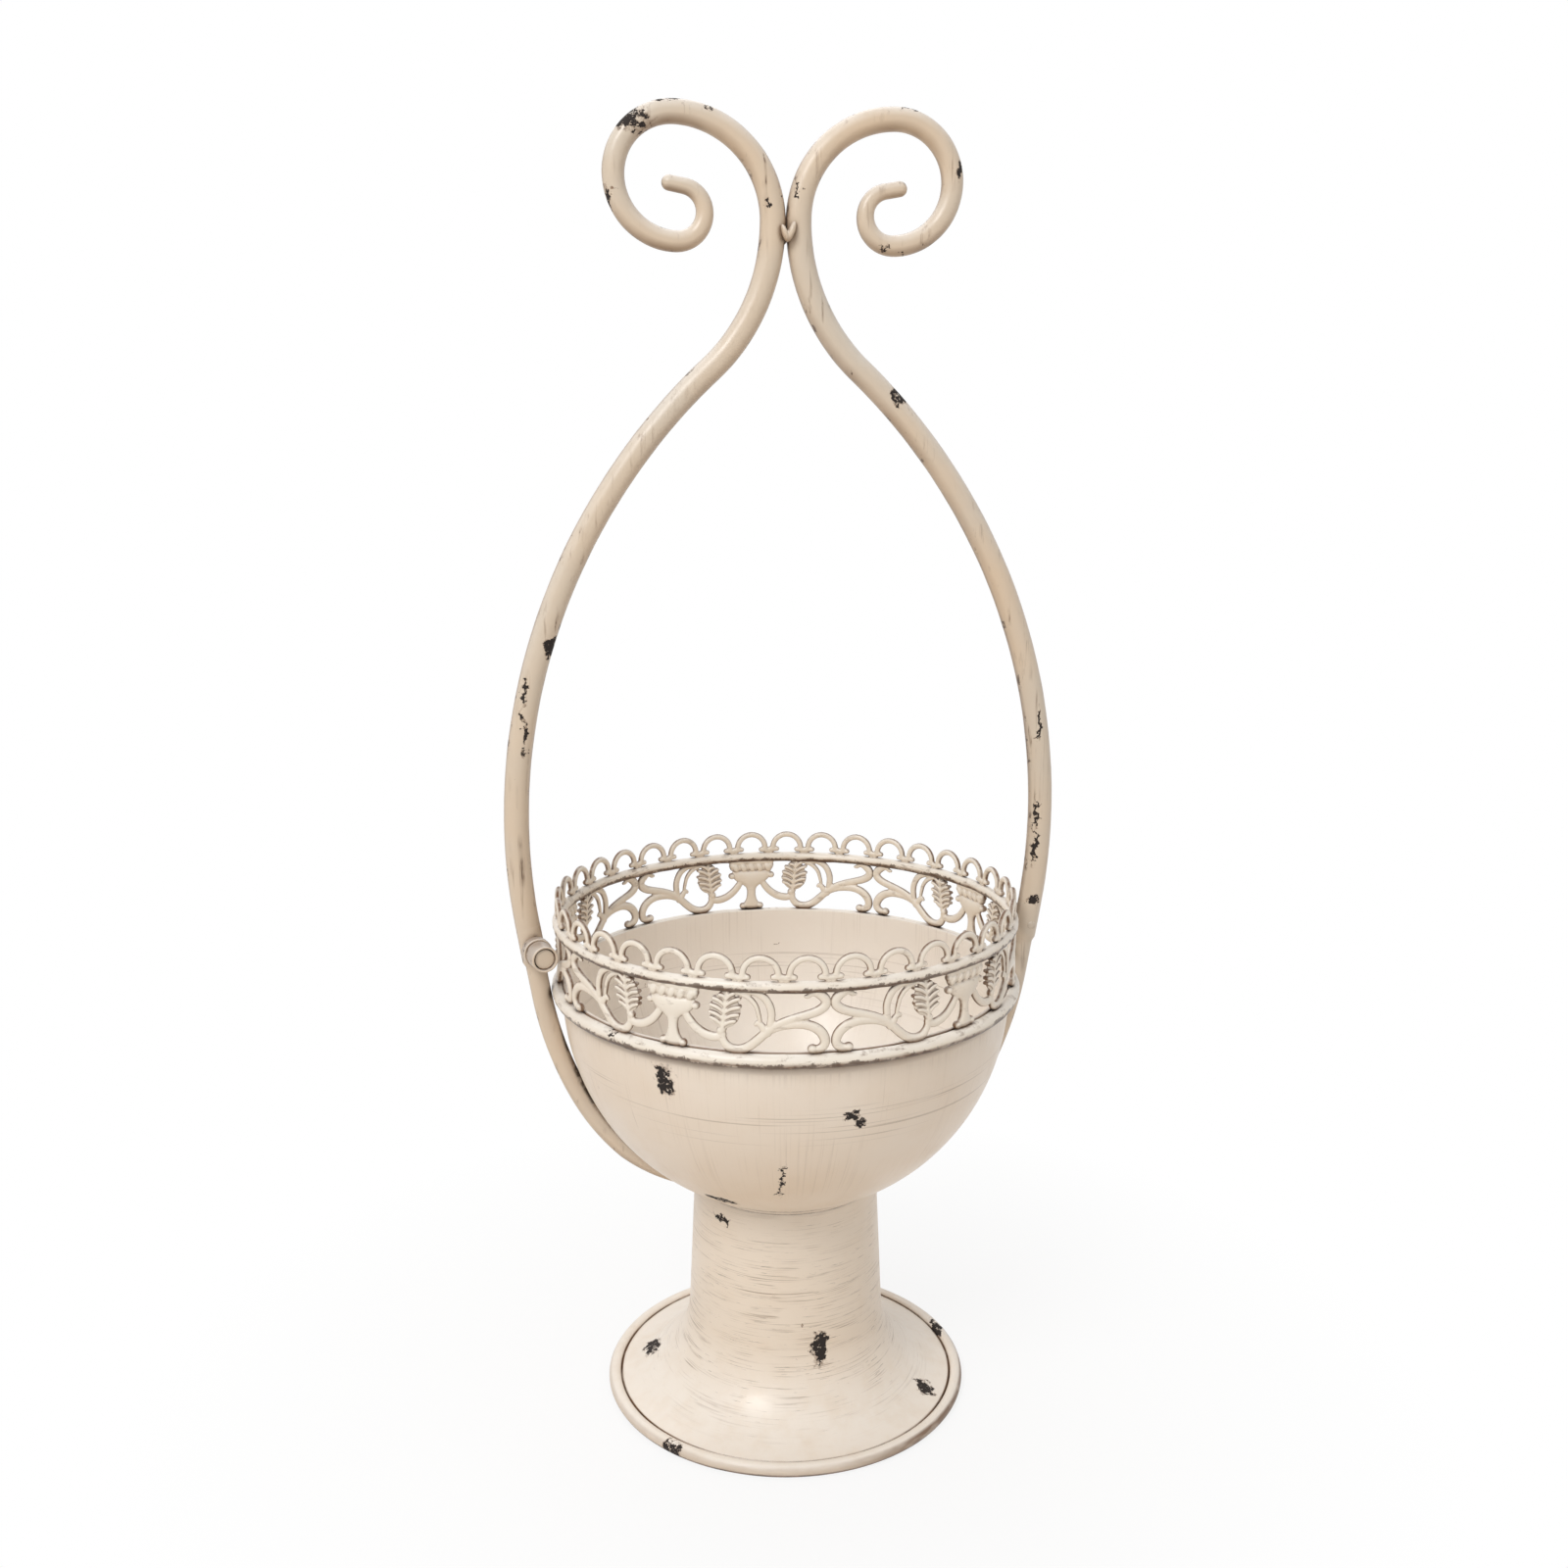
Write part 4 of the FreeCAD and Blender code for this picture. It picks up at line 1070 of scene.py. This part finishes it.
def leaf_parts(half, height):
    """A fat cast leaf: a thin blade, a midrib and bold ridges, the same on both faces."""
    base = Vector((LEAF_BASE[0] * half, 0, LEAF_BASE[1] * height))
    tip = Vector((LEAF_TIP[0] * half, 0, LEAF_TIP[1] * height))
    along = tip - base
    way = along.normalized()
    side = Vector((way.z, 0, -way.x))

    def spread(share):
        """Half of the leaf's width at a share of its length."""
        return LEAF_HALF_WIDTH * math.sin(math.pi * share**0.8) ** 0.6

    steps, sides, blade = 18, 16, 0.75
    spots = []
    for i in range(steps + 1):
        share = 0.02 + 0.96 * i / steps
        wide = max(spread(share), 0.5)
        for k in range(sides):
            turn = 2 * math.pi * k / sides
            deep = blade * math.copysign(abs(math.sin(turn)) ** 0.5, math.sin(turn))
            across = side * (wide * math.cos(turn))
            spots.append(base + along * share + across + Vector((0, deep, 0)))
    parts = [(spots, tube_faces(steps + 1, sides))]
    # A ridge leaves the midrib at its root, is thickest in the middle and ends free.
    thin, thick, free = 0.8, 1.12, 1.0
    for face in (-1, 1):
        rib = [(base + along * s, 1.1 - 0.6 * s) for s in (0, 0.3, 0.6, 0.95)]
        line = smooth_through([(p.x, p.z, w) for p, w in rib], 4)
        parts.append(shifted(tube(line, 1.0, 8), face * 0.9))
        for k in range(LEAF_RIDGES):
            share = 0.06 + 0.86 * k / LEAF_RIDGES
            root = base + along * share
            for flank, reach_share, climb in ((-1, 0.94, 0.13), (1, 0.90, 0.19)):
                uneven = plain_noise(1.9 * k, 2.3 * flank, 0, seed=9)
                wide = spread(min(share + 0.12, 0.95)) * reach_share * (1 + 0.22 * uneven)
                climb += 0.09 * uneven
                end = root + way * (along.length * climb) + side * (flank * wide)
                middle = root.lerp(end, 0.5) + way * 0.7
                line = [(root.x, root.z, thin), (middle.x, middle.z, thick), (end.x, end.z, free)]
                parts.append(shifted(tube(smooth_through(line, 4), 1.1, 8), face * 0.85))
    return parts


def shifted(part, forward):
    spots, faces = part
    return [spot + Vector((0, forward, 0)) for spot in spots], faces


def mirrored(part):
    """The left half's copy of a right part, with its faces still outward."""
    spots, faces = part
    return [Vector((-s.x, s.y, s.z)) for s in spots], [tuple(reversed(f)) for f in faces]


def urn_parts(height):
    """The urn in the middle of a panel, with a rope of fat lobes over its cup."""
    parts = [stack(URN_SECTIONS, height)]
    # The two rims: half length, height share, half width, share of depth.
    for reach_x, share, wide, depth in ((11.2, 0.925, 2.6, 0.7), (10.8, 0.820, 2.4, 0.6)):
        parts.append(tube([(-reach_x, share * height, wide), (reach_x, share * height, wide)], depth))
    lobes, pitch = 5, 4.9
    for k in range(lobes):
        across = (k - (lobes - 1) / 2) * pitch
        parts.append(knob(across, 0.815 * height, 2.35, 3.3, 2.6, lean=0.55))
    # Balls at the ends of the rope, the cup and the foot.
    balls = [(11.6, 0.850, 2.0, 2.0, 2.2), (11.9, 0.655, 2.1, 1.9, 2.3), (5.2, 0.060, 2.1, 2.0, 2.2)]
    for flip in (-1, 1):
        for x, share, *half_sizes in balls:
            parts.append(knob(flip * x, share * height, *half_sizes))
    return parts


def smooth_casting(name, parts, grain, rounds):
    """Shells in millimetres melted into one skin of even grain, in metres."""
    spots, faces = join(parts)
    rough = new_piece(name, spots, faces)
    melt = rough.modifiers.new("melt", "REMESH")
    melt.mode = "VOXEL"
    melt.voxel_size = grain / MM
    melt.use_smooth_shade = True
    soft = rough.modifiers.new("soft", "SMOOTH")
    soft.factor = 0.5
    soft.iterations = rounds
    depsgraph = bpy.context.evaluated_depsgraph_get()
    mesh = bpy.data.meshes.new_from_object(rough.evaluated_get(depsgraph))
    forget(rough)
    for vertex in mesh.vertices:
        vertex.co *= MM
    return add_thing(name, mesh)


def forget(thing):
    bpy.data.objects.remove(thing)


def panel_turn(i):
    return FIRST_PANEL_TURN + i * 2 * math.pi / PANELS


class PLANTER_OT_gallery(bpy.types.Operator):
    """Casts the openwork pattern and wraps its five panels round the rim"""

    bl_idname = "planter.gallery"
    bl_label = "Gallery"

    def execute(self, context):
        vessel = context.scene.vessel_sizes
        sizes = context.scene.gallery_sizes
        radius = vessel.bowl_radius + GALLERY_OVERHANG
        half = math.pi / PANELS * radius / MM
        height = sizes.height / MM
        depth_share = sizes.relief / MM / WIDE_STROKE
        parts = urn_parts(height)
        right = leaf_parts(half, height)
        for name, places in STROKES.items():
            line = smooth_through([(p * half, q * height, w) for p, q, w in places], 6)
            right.append(tube(line, 1.0 if name in ROUND_STROKES else depth_share, 14))
        for p, q, ball in BALLS:
            right.append(knob(p * half, q * height, ball, ball * 0.9, ball * 0.9))
        parts.extend(right)
        parts.extend(mirrored(part) for part in right)
        casting = smooth_casting("flat_panel", parts, sizes.grain, 2)
        tree = wrap_tree()
        coat = paint("aged_casting")
        level = vessel.rim_height
        for i in range(PANELS):
            values = {"Radius": radius, "Turn": panel_turn(i), "Height": level, "Material": coat}
            panel = shaped_by(casting, tree, f"cast_panel_{i + 1}", **values)
            give(panel, "gallery_paint", f"gallery_panel_{i + 1}")
        forget(casting)
        return {"FINISHED"}


class PLANTER_OT_crest(bpy.types.Operator):
    """Sets the rows of open loops on the top ring"""

    bl_idname = "planter.crest"
    bl_label = "Crest"

    def execute(self, context):
        vessel = context.scene.vessel_sizes
        sizes = context.scene.gallery_sizes
        radius = vessel.bowl_radius + GALLERY_OVERHANG
        pitch = 2 * math.pi * radius / PANELS / LOOPS / MM
        stroke = sizes.loop_stroke / MM / 2
        bend = pitch / 2 - 1.45 * stroke
        lift = 0.9
        rise = sizes.loop_rise / MM + lift
        foot = rise - lift
        top = (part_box("gallery_crest_1")[1].z - vessel.rim_height - sizes.height) / MM
        tall = top - stroke - rise - 0.1
        steps = 14
        turns = [t * math.pi / steps for t in range(steps + 1)]
        head = [(-bend * math.cos(t), rise + tall * math.sin(t), stroke) for t in turns]
        parts = [tube([(-bend, foot, stroke), *head, (bend, foot, stroke)], 0.94, 14)]
        edge = pitch / 2
        for side in (-1, 1):
            # Half of the pad between two loops, its ball, and the neck that carries it.
            pad = [
                (side * (edge + 0.3), rise - 1.3, 1.5),
                (side * (edge - 2.2), rise - 1.2, 1.55),
                (side * (edge - 4.5), rise - 1.25, 1.35),
            ]
            parts.append(tube(smooth_through(pad, 5), 1.0, 10))
            parts.append(knob(side * (edge - 4.7), rise - 1.1, 1.6, 1.5, 1.6))
            neck = [(side * (edge - 0.9), z, 1.9) for z in (2.6, rise - 1.6)]
            parts.append(tube(neck, 0.6, 10))
        loop = smooth_casting("one_loop", parts, 0.42 * MM, 3)
        row, wrap, coat = row_tree(), wrap_tree(), paint("aged_casting")
        start = -pitch * MM * (LOOPS - 1) / 2
        level = vessel.rim_height + sizes.height
        for i in range(PANELS):
            values = {"Count": LOOPS, "Start": start, "Pitch": pitch * MM, "Seed": i + 3}
            flat = shaped_by(loop, row, "flat_row", Material=coat, **values)
            values = {"Radius": radius, "Turn": panel_turn(i), "Height": level, "Material": coat}
            crest = shaped_by(flat, wrap, f"cast_loops_{i + 1}", **values)
            forget(flat)
            give(crest, "gallery_paint", f"gallery_crest_{i + 1}")
        forget(loop)
        return {"FINISHED"}


# Thickness left for the unevenness, so that a bar stays within its solid.
BAR_PLAY = 0.06 * MM
STRAP_PLAY = 0.05 * MM
# About how far apart the places along a bend are.
BAR_STEP = 1.6 * MM
STRAP_STEP = 1.8 * MM


def ways(turn):
    return Vector((math.cos(turn), math.sin(turn)))


def handle_plan(vessel, sizes, gallery):
    """The places that the bars, straps and joints share, on the right side."""
    lean = math.asin(sizes.widest_rise / sizes.arch)
    joint_height = vessel.rim_height + sizes.joint_rise
    bead = gallery.lower_bead / 2
    ring = Vector((vessel.bowl_radius + bead - gallery.seat, vessel.rim_height - bead))
    down = ways(-math.pi / 2 - lean)
    out = ways(-lean)
    contact = ring + out * (bead + sizes.strap / 2)
    joint = contact - down * ((joint_height - contact.y) / math.cos(lean))
    arch = joint - out * sizes.arch
    throat_x = sizes.bar / 2 + sizes.throat
    across = throat_x - arch.x
    rise = math.sqrt((sizes.arch + sizes.throat) ** 2 - across**2)
    plan = {"lean": lean, "down": down, "out": out, "contact": contact, "joint": joint}
    plan.update(arch=arch, throat=Vector((throat_x, arch.y + rise)))
    plan["turn_over"] = math.atan2(rise, across)
    return plan


def uneven_bars(name, line, coat, node, seed, uneven):
    """The left and right bar along (x, z, radius) in the XZ plane."""
    tree = bpy.data.node_groups.get("bar_along_path") or bar_tree()
    for side, flip in (("left", -1), ("right", 1)):
        curve = bpy.data.curves.new(f"{name}_{side}", "CURVE")
        curve.dimensions = "3D"
        spline = curve.splines.new("POLY")
        spline.points.add(len(line) - 1)
        for point, (x, z, radius) in zip(spline.points, line):
            point.co = (flip * x, 0, z, 1)
            point.radius = radius
        path = add_thing(f"{name}_{side}_path", curve)
        values = {"Unevenness": uneven, "Seed": seed, "Material": coat}
        bar = shaped_by(path, tree, f"{name}_{side}", **values)
        seed += 1
        forget(path)
        close_up(bar)
        give(bar, "bar_paint", f"{node}_{side}")


def round_ends(line, first, last):
    """Adds a rounded start and stop to a line of (x, z, radius); 1 is a half ball."""
    result = list(line)
    steps, near_pole = 6, 0.97
    for end, share in ((0, first), (-1, last)):
        x, z, radius = result[end]
        beside = result[1] if end == 0 else result[-2]
        way = Vector((x - beside[0], z - beside[1])).normalized()
        cap = []
        for step in range(1, steps + 1):
            turn = step / steps * math.pi / 2 * near_pole
            slide = radius * share * math.sin(turn)
            shrink = radius * (1 - share + share * math.cos(turn))
            cap.append((x + way.x * slide, z + way.y * slide, shrink))
        if share < 1:
            x, z, radius = cap[-1]
            cap.append((x, z, radius * 0.5))
        result = [*reversed(cap), *result] if end == 0 else [*result, *cap]
    return result


class PLANTER_OT_handle(bpy.types.Operator):
    """Bends the two scrolled bars of the handle"""

    bl_idname = "planter.handle"
    bl_label = "Handle"

    def execute(self, context):
        sizes = context.scene.handle_sizes
        plan = handle_plan(context.scene.vessel_sizes, sizes, context.scene.gallery_sizes)
        quarter, last_turn = math.pi / 2, math.radians(84)
        crown = Vector((sizes.bar / 2 + sizes.crown, plan["throat"].y))
        outer = crown + Vector((0, sizes.crown - sizes.outer))
        inner = outer + Vector((sizes.outer - sizes.inner, 0))
        curl = inner - Vector((0, sizes.inner - sizes.curl))
        end = curl - Vector((sizes.curl - sizes.curl_end, 0))
        bends = [
            (plan["arch"], sizes.arch, -plan["lean"], plan["turn_over"]),
            (plan["throat"], sizes.throat, plan["turn_over"] + math.pi, math.pi),
            (crown, sizes.crown, math.pi, quarter),
            (outer, sizes.outer, quarter, 0),
            (inner, sizes.inner, 0, -quarter),
            (curl, sizes.curl, -quarter, -math.pi),
            (end, sizes.curl_end, math.pi, math.pi - last_turn),
        ]
        line = []
        before_scroll = 0
        for centre, radius, start, stop in bends:
            steps = max(8, int(radius * abs(stop - start) / BAR_STEP))
            run = arc(centre, radius, start, stop, steps)
            line.extend(run if not line else run[1:])
            if centre == plan["throat"]:
                before_scroll = len(line) - 1
        # A short straight end after the last bend.
        bent = line[-1]
        way = (bent - line[-2]).normalized()
        end_step, end_steps = 0.8 * MM, 8
        line.extend(bent + way * (end_step * step) for step in range(1, end_steps + 1))
        lengths = [0]
        for before, after in zip(line, line[1:]):
            lengths.append(lengths[-1] + (after - before).length)
        # The bar thins from the throat to the scroll's third bend, and again to its tip.
        wide = sum(r * abs(b - a) for _, r, a, b in bends[2:5])
        narrow = sum(r * abs(b - a) for _, r, a, b in bends[5:])
        thick = []
        for place, length in zip(line, lengths):
            run = length - lengths[before_scroll]
            if run < 0:
                diameter = sizes.bar
            elif run < wide:
                diameter = sizes.bar + (sizes.scroll_bar - sizes.bar) * run / wide
            else:
                share = min((run - wide) / narrow, 1)
                diameter = sizes.scroll_bar + (sizes.tip_bar - sizes.scroll_bar) * share
            thick.append((place.x, place.y, diameter / 2 - BAR_PLAY))
        line = round_ends(thick, first=0.12, last=1.0)
        uneven_bars("scrolled_bar", line, paint("aged_bar"), "handle_bar", 11.0, 0.22 * MM)
        return {"FINISHED"}


class PLANTER_OT_straps(bpy.types.Operator):
    """Bends the two straps that hug the bowl under the handle"""

    bl_idname = "planter.straps"
    bl_label = "Straps"

    def execute(self, context):
        vessel = context.scene.vessel_sizes
        sizes = context.scene.handle_sizes
        plan = handle_plan(vessel, sizes, context.scene.gallery_sizes)
        contact, joint, out, lean = plan["contact"], plan["joint"], plan["out"], plan["lean"]
        # The strap bends from the ring to the bowl, follows the bowl and thins to its tip.
        bowl = Vector((0, vessel.rim_height - vessel.rim_upstand))
        reach_to = contact - bowl
        follow = vessel.bowl_radius + sizes.strap / 2
        approach = (reach_to.length_squared - follow**2) / (2 * (reach_to.dot(out) - follow))
        approach_centre = contact - out * approach
        meeting = bowl - approach_centre
        meeting_turn = math.atan2(meeting.y, meeting.x)
        full, thin = sizes.strap, sizes.strap_tip
        tip_radius = 1 / (1 / follow + (full - thin) / sizes.strap_tip_length**2)
        sweep = sizes.strap_tip_length / tip_radius
        tip_reach = Vector((follow - tip_radius, 0)) + ways(-sweep) * tip_radius
        tip_gap = 0.3 * MM
        tip_place = vessel.neck_radius + (vessel.braze + thin) / 2 + tip_gap
        thinning = -math.acos(tip_place / tip_reach.length) - math.atan2(tip_reach.y, tip_reach.x)
        tip_centre = bowl + ways(thinning) * (follow - tip_radius)
        straight, nearest = 14, 0.4 * MM
        places = [(joint.lerp(contact, i / straight), full) for i in range(straight)]
        for centre, radius, start, stop, last in (
            (approach_centre, approach, -lean, meeting_turn, full),
            (bowl, follow, meeting_turn, thinning, full),
            (tip_centre, tip_radius, thinning, thinning - sweep, thin),
        ):
            steps = max(6, int(abs(radius * (stop - start)) / STRAP_STEP))
            for i, place in enumerate(arc(centre, radius, start, stop, steps)):
                if (place - places[-1][0]).length > nearest:
                    places.append((place, full + (last - full) * i / steps))
        # The head is as thick as the bar and goes over into the strap within a few mm.
        line = []
        change = 3 * MM
        for place, diameter in places:
            past_head = (place - joint).length - sizes.hub_length + change / 2
            share = min(max(past_head / change, 0), 1)
            share = share * share * (3 - 2 * share)
            wide = sizes.bar + (diameter - sizes.bar) * share
            line.append((place.x, place.y, wide / 2 - STRAP_PLAY))
        line = round_ends(line, first=0.12, last=1.0)
        uneven_bars("bent_strap", line, paint("aged_bar"), "strap", 21.0, 0.12 * MM)
        return {"FINISHED"}


class PLANTER_OT_joints(bpy.types.Operator):
    """Turns the collars, barrels, caps and pins that hold the straps to the handle"""

    bl_idname = "planter.joints"
    bl_label = "Joints"

    def execute(self, context):
        vessel = context.scene.vessel_sizes
        sizes = context.scene.handle_sizes
        plan = handle_plan(vessel, sizes, context.scene.gallery_sizes)
        joint, down = plan["joint"], plan["down"]
        axis = Vector((down.x, 0, down.y))
        place = Vector((joint.x, 0, joint.y)) + axis * sizes.pin_drop
        # The left barrel looks to the front and a little inwards, the right one to the back.
        out = Quaternion(axis, math.radians(-14)) @ FORWARD
        hub = sizes.bar / 2
        collar, barrel, pin = sizes.collar / 2, sizes.barrel / 2, 2.4 * MM
        back = hub - 2.2 * MM
        first = hub + 6 * MM
        last = first + 13 * MM
        recess = last - 2.2 * MM
        pin_end = first + 3.9 * MM
        # Each corner is (radius, distance from the pin's place, rounding).
        outlines = {
            "joint_collar": [
                (pin, back, 0),
                (pin, first, 0),
                (collar, first, 0.8 * MM),
                (collar, hub + 0.6 * MM, 0.5 * MM),
                (collar - 1.2 * MM, back, 0.5 * MM),
            ],
            "joint_barrel": [
                (0, first + 4 * MM, 0),
                (0, recess, 0),
                (5.4 * MM, recess, 0),
                (5.6 * MM, last, 0.5 * MM),
                (barrel, last, 0.6 * MM),
                (barrel, first + 0.9 * MM, 0.5 * MM),
                (barrel - 1.0 * MM, first + 0.05 * MM, 0.3 * MM),
                (pin, first + 0.05 * MM, 0),
                (pin, first + 4 * MM, 0),
            ],
            "joint_cap": [
                (0, last - 2.4 * MM, 0),
                (0, last - 1.0 * MM, 0),
                (3.4 * MM, last - 1.05 * MM, 1.0 * MM),
                (5.2 * MM, last - 1.35 * MM, 0.5 * MM),
                (5.35 * MM, last - 2.4 * MM, 0),
            ],
            "joint_pin": [
                (0, pin_end, 0),
                (pin, pin_end, 0),
                (pin, -hub + 0.4 * MM, 0),
                (2.2 * MM, -hub + 0.1 * MM, 0),
                (0, -hub + 0.05 * MM, 0),
            ],
        }
        names = {
            "joint_collar": "turned_collar",
            "joint_barrel": "turned_barrel",
            "joint_cap": "sunk_cap",
            "joint_pin": "through_pin",
        }
        coat = paint("aged_joint")
        for side, flip in (("left", -1), ("right", 1)):
            spot = Vector((flip * place.x, flip * place.y, place.z))
            way = Vector((flip * out.x, flip * out.y, out.z))
            for node, corners in outlines.items():
                thing = turned(f"{names[node]}_{side}", soften(corners), coat, spot, way, 64)
                give(thing, "bar_paint", f"{node}_{side}")
        return {"FINISHED"}


class PLANTER_OT_weld(bpy.types.Operator):
    """Lays the two beads of weld where the bars meet"""

    bl_idname = "planter.weld"
    bl_label = "Weld"

    def execute(self, context):
        low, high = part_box("crown_weld")
        radius = 3.5
        side = high.y / MM - radius
        bottom, top = low.z / MM, high.z / MM
        tall = (top - bottom) / 2
        parts = []
        # Each bead is two lumps, the left one smaller and lower, that lean together.
        for way in (-1, 1):
            for flip, size in ((-1, 0.86), (1, 1.0)):
                x, z = flip * 1.55, bottom + tall * (0.9 + 0.08 * flip)
                half_sizes = (1.75 * size, tall * 0.92 * size, radius * 0.9)
                parts.append(knob(x, z, *half_sizes, -0.36 * flip, way * side))
        weld = smooth_casting("crown_weld_beads", parts, 0.35 * MM, 2)
        weld.data.materials.append(paint("aged_bar"))
        give(weld, "bar_paint", "crown_weld")
        return {"FINISHED"}


FLOOR_CORNERS = [(-1, -1), (1, -1), (1, 1), (-1, 1)]


class PLANTER_OT_stage(bpy.types.Operator):
    """Sets the pale floor, the soft lights and the camera"""

    bl_idname = "planter.stage"
    bl_label = "Stage"

    def execute(self, context):
        far = 9
        corners = [(x * far, y * far, 0) for x, y in FLOOR_CORNERS]
        floor = new_piece("floor", corners, [(0, 1, 2, 3)], floor_material())
        # Place, width and power; every lamp looks at the gallery.
        middle = Vector((0, 0, 0.25))
        lamps = {
            "key": ((-1.2, -1.4, 2.05), 1.0, 30.0),
            "fill": ((0.9, -1.9, 0.5), 2.0, 3.2),
            "back": ((-0.2, 1.5, 2.2), 1.8, 11.0),
        }
        for name, (place, width, power) in lamps.items():
            light = bpy.data.lights.new(name, "AREA")
            light.shape = "DISK"
            light.size = width
            light.energy = power
            lamp = add_thing(name, light)
            lamp.location = place
            lamp.rotation_euler = (middle - Vector(place)).to_track_quat("-Z", "Y").to_euler()
        world = bpy.data.worlds.new("studio")
        context.scene.world = world
        world.use_nodes = True
        world.node_tree.nodes.clear()
        net = Wiring(world.node_tree)
        soft = net.add("ShaderNodeBackground", {0: (1, 0.968, 0.93, 1), 1: 0.51})
        white = net.add("ShaderNodeBackground", {0: (1, 1, 1, 1), 1: 1.0})
        values = {0: seen_directly(net), 1: soft, 2: white}
        both = net.add("ShaderNodeMixShader", values)
        net.add("ShaderNodeOutputWorld", {"Surface": both})

        sizes = context.scene.camera_sizes
        data = bpy.data.cameras.new("camera")
        data.lens = sizes.lens
        data.sensor_width = 36
        data.clip_start = 0.01
        camera = add_thing("camera", data)
        across = -sizes.distance * math.sin(sizes.turn)
        back = -sizes.distance * math.cos(sizes.turn)
        camera.location = (across, back, sizes.height)
        # The planter stands a hair to the right of the picture's middle.
        aside = 0.001
        camera.rotation_euler = (math.pi / 2 - sizes.pitch, 0, -sizes.turn + aside)
        context.scene.camera = camera
        context.scene.view_settings.view_transform = "Standard"
        return {"FINISHED"}


def seen_directly(net):
    """1 for what the camera sees, also in a reflection or through glass, else 0."""
    rays = net.add("ShaderNodeLightPath").outputs
    kinds = ("Is Camera Ray", "Is Glossy Ray", "Is Transmission Ray")
    return net.most(*(rays[kind] for kind in kinds))


def floor_material():
    """White to the camera, with the object's shadow kept close to it."""
    material = bpy.data.materials.new("white_floor")
    material.use_nodes = True
    material.node_tree.nodes.clear()
    net = Wiring(material.node_tree)
    place = net.add("ShaderNodeTexCoord").outputs["Object"]
    # The shadow fades out between 12 and 36 cm from the part's axis.
    away = net.fade(net.vector("LENGTH", place), 0.12, 0.36, 0.84)
    plain = net.add("ShaderNodeBsdfDiffuse", {"Color": (0.9, 0.9, 0.9, 1)})
    white = net.add("ShaderNodeEmission", {"Color": (1, 1, 1, 1), "Strength": 1.0})
    share = net.times(seen_directly(net), away)
    values = {0: share, 1: plain, 2: white}
    both = net.add("ShaderNodeMixShader", values)
    net.add("ShaderNodeOutputMaterial", {"Surface": both})
    return material


OPERATORS = (
    PLANTER_OT_paint,
    PLANTER_OT_pedestal,
    PLANTER_OT_bowl,
    PLANTER_OT_rings,
    PLANTER_OT_gallery,
    PLANTER_OT_crest,
    PLANTER_OT_handle,
    PLANTER_OT_straps,
    PLANTER_OT_joints,
    PLANTER_OT_weld,
    PLANTER_OT_stage,
)
SETTINGS = {
    "vessel_sizes": VesselSizes,
    "gallery_sizes": GallerySizes,
    "handle_sizes": HandleSizes,
    "paint_colours": PaintColours,
    "camera_sizes": CameraSizes,
}


class PLANTER_PT_panel(bpy.types.Panel):
    bl_idname = "PLANTER_PT_panel"
    bl_label = "Urn planter"
    bl_space_type = "VIEW_3D"
    bl_region_type = "UI"
    bl_category = "Planter"

    def draw(self, context):
        for name, group in SETTINGS.items():
            box = self.layout.box()
            box.label(text=name.replace("_", " ").capitalize())
            for prop in group.__annotations__:
                box.prop(getattr(context.scene, name), prop)
        for operator in OPERATORS:
            self.layout.operator(operator.bl_idname)


CLASSES = (*SETTINGS.values(), *OPERATORS, PLANTER_PT_panel)


def register():
    for kind in CLASSES:
        bpy.utils.register_class(kind)
    for name, group in SETTINGS.items():
        setattr(bpy.types.Scene, name, bpy.props.PointerProperty(type=group))


def unregister():
    for name in SETTINGS:
        delattr(bpy.types.Scene, name)
    for kind in reversed(CLASSES):
        bpy.utils.unregister_class(kind)


def main():
    register()
    for operator in OPERATORS:
        getattr(bpy.ops.planter, operator.bl_idname.split(".")[1])()


if __name__ == "__main__":
    main()
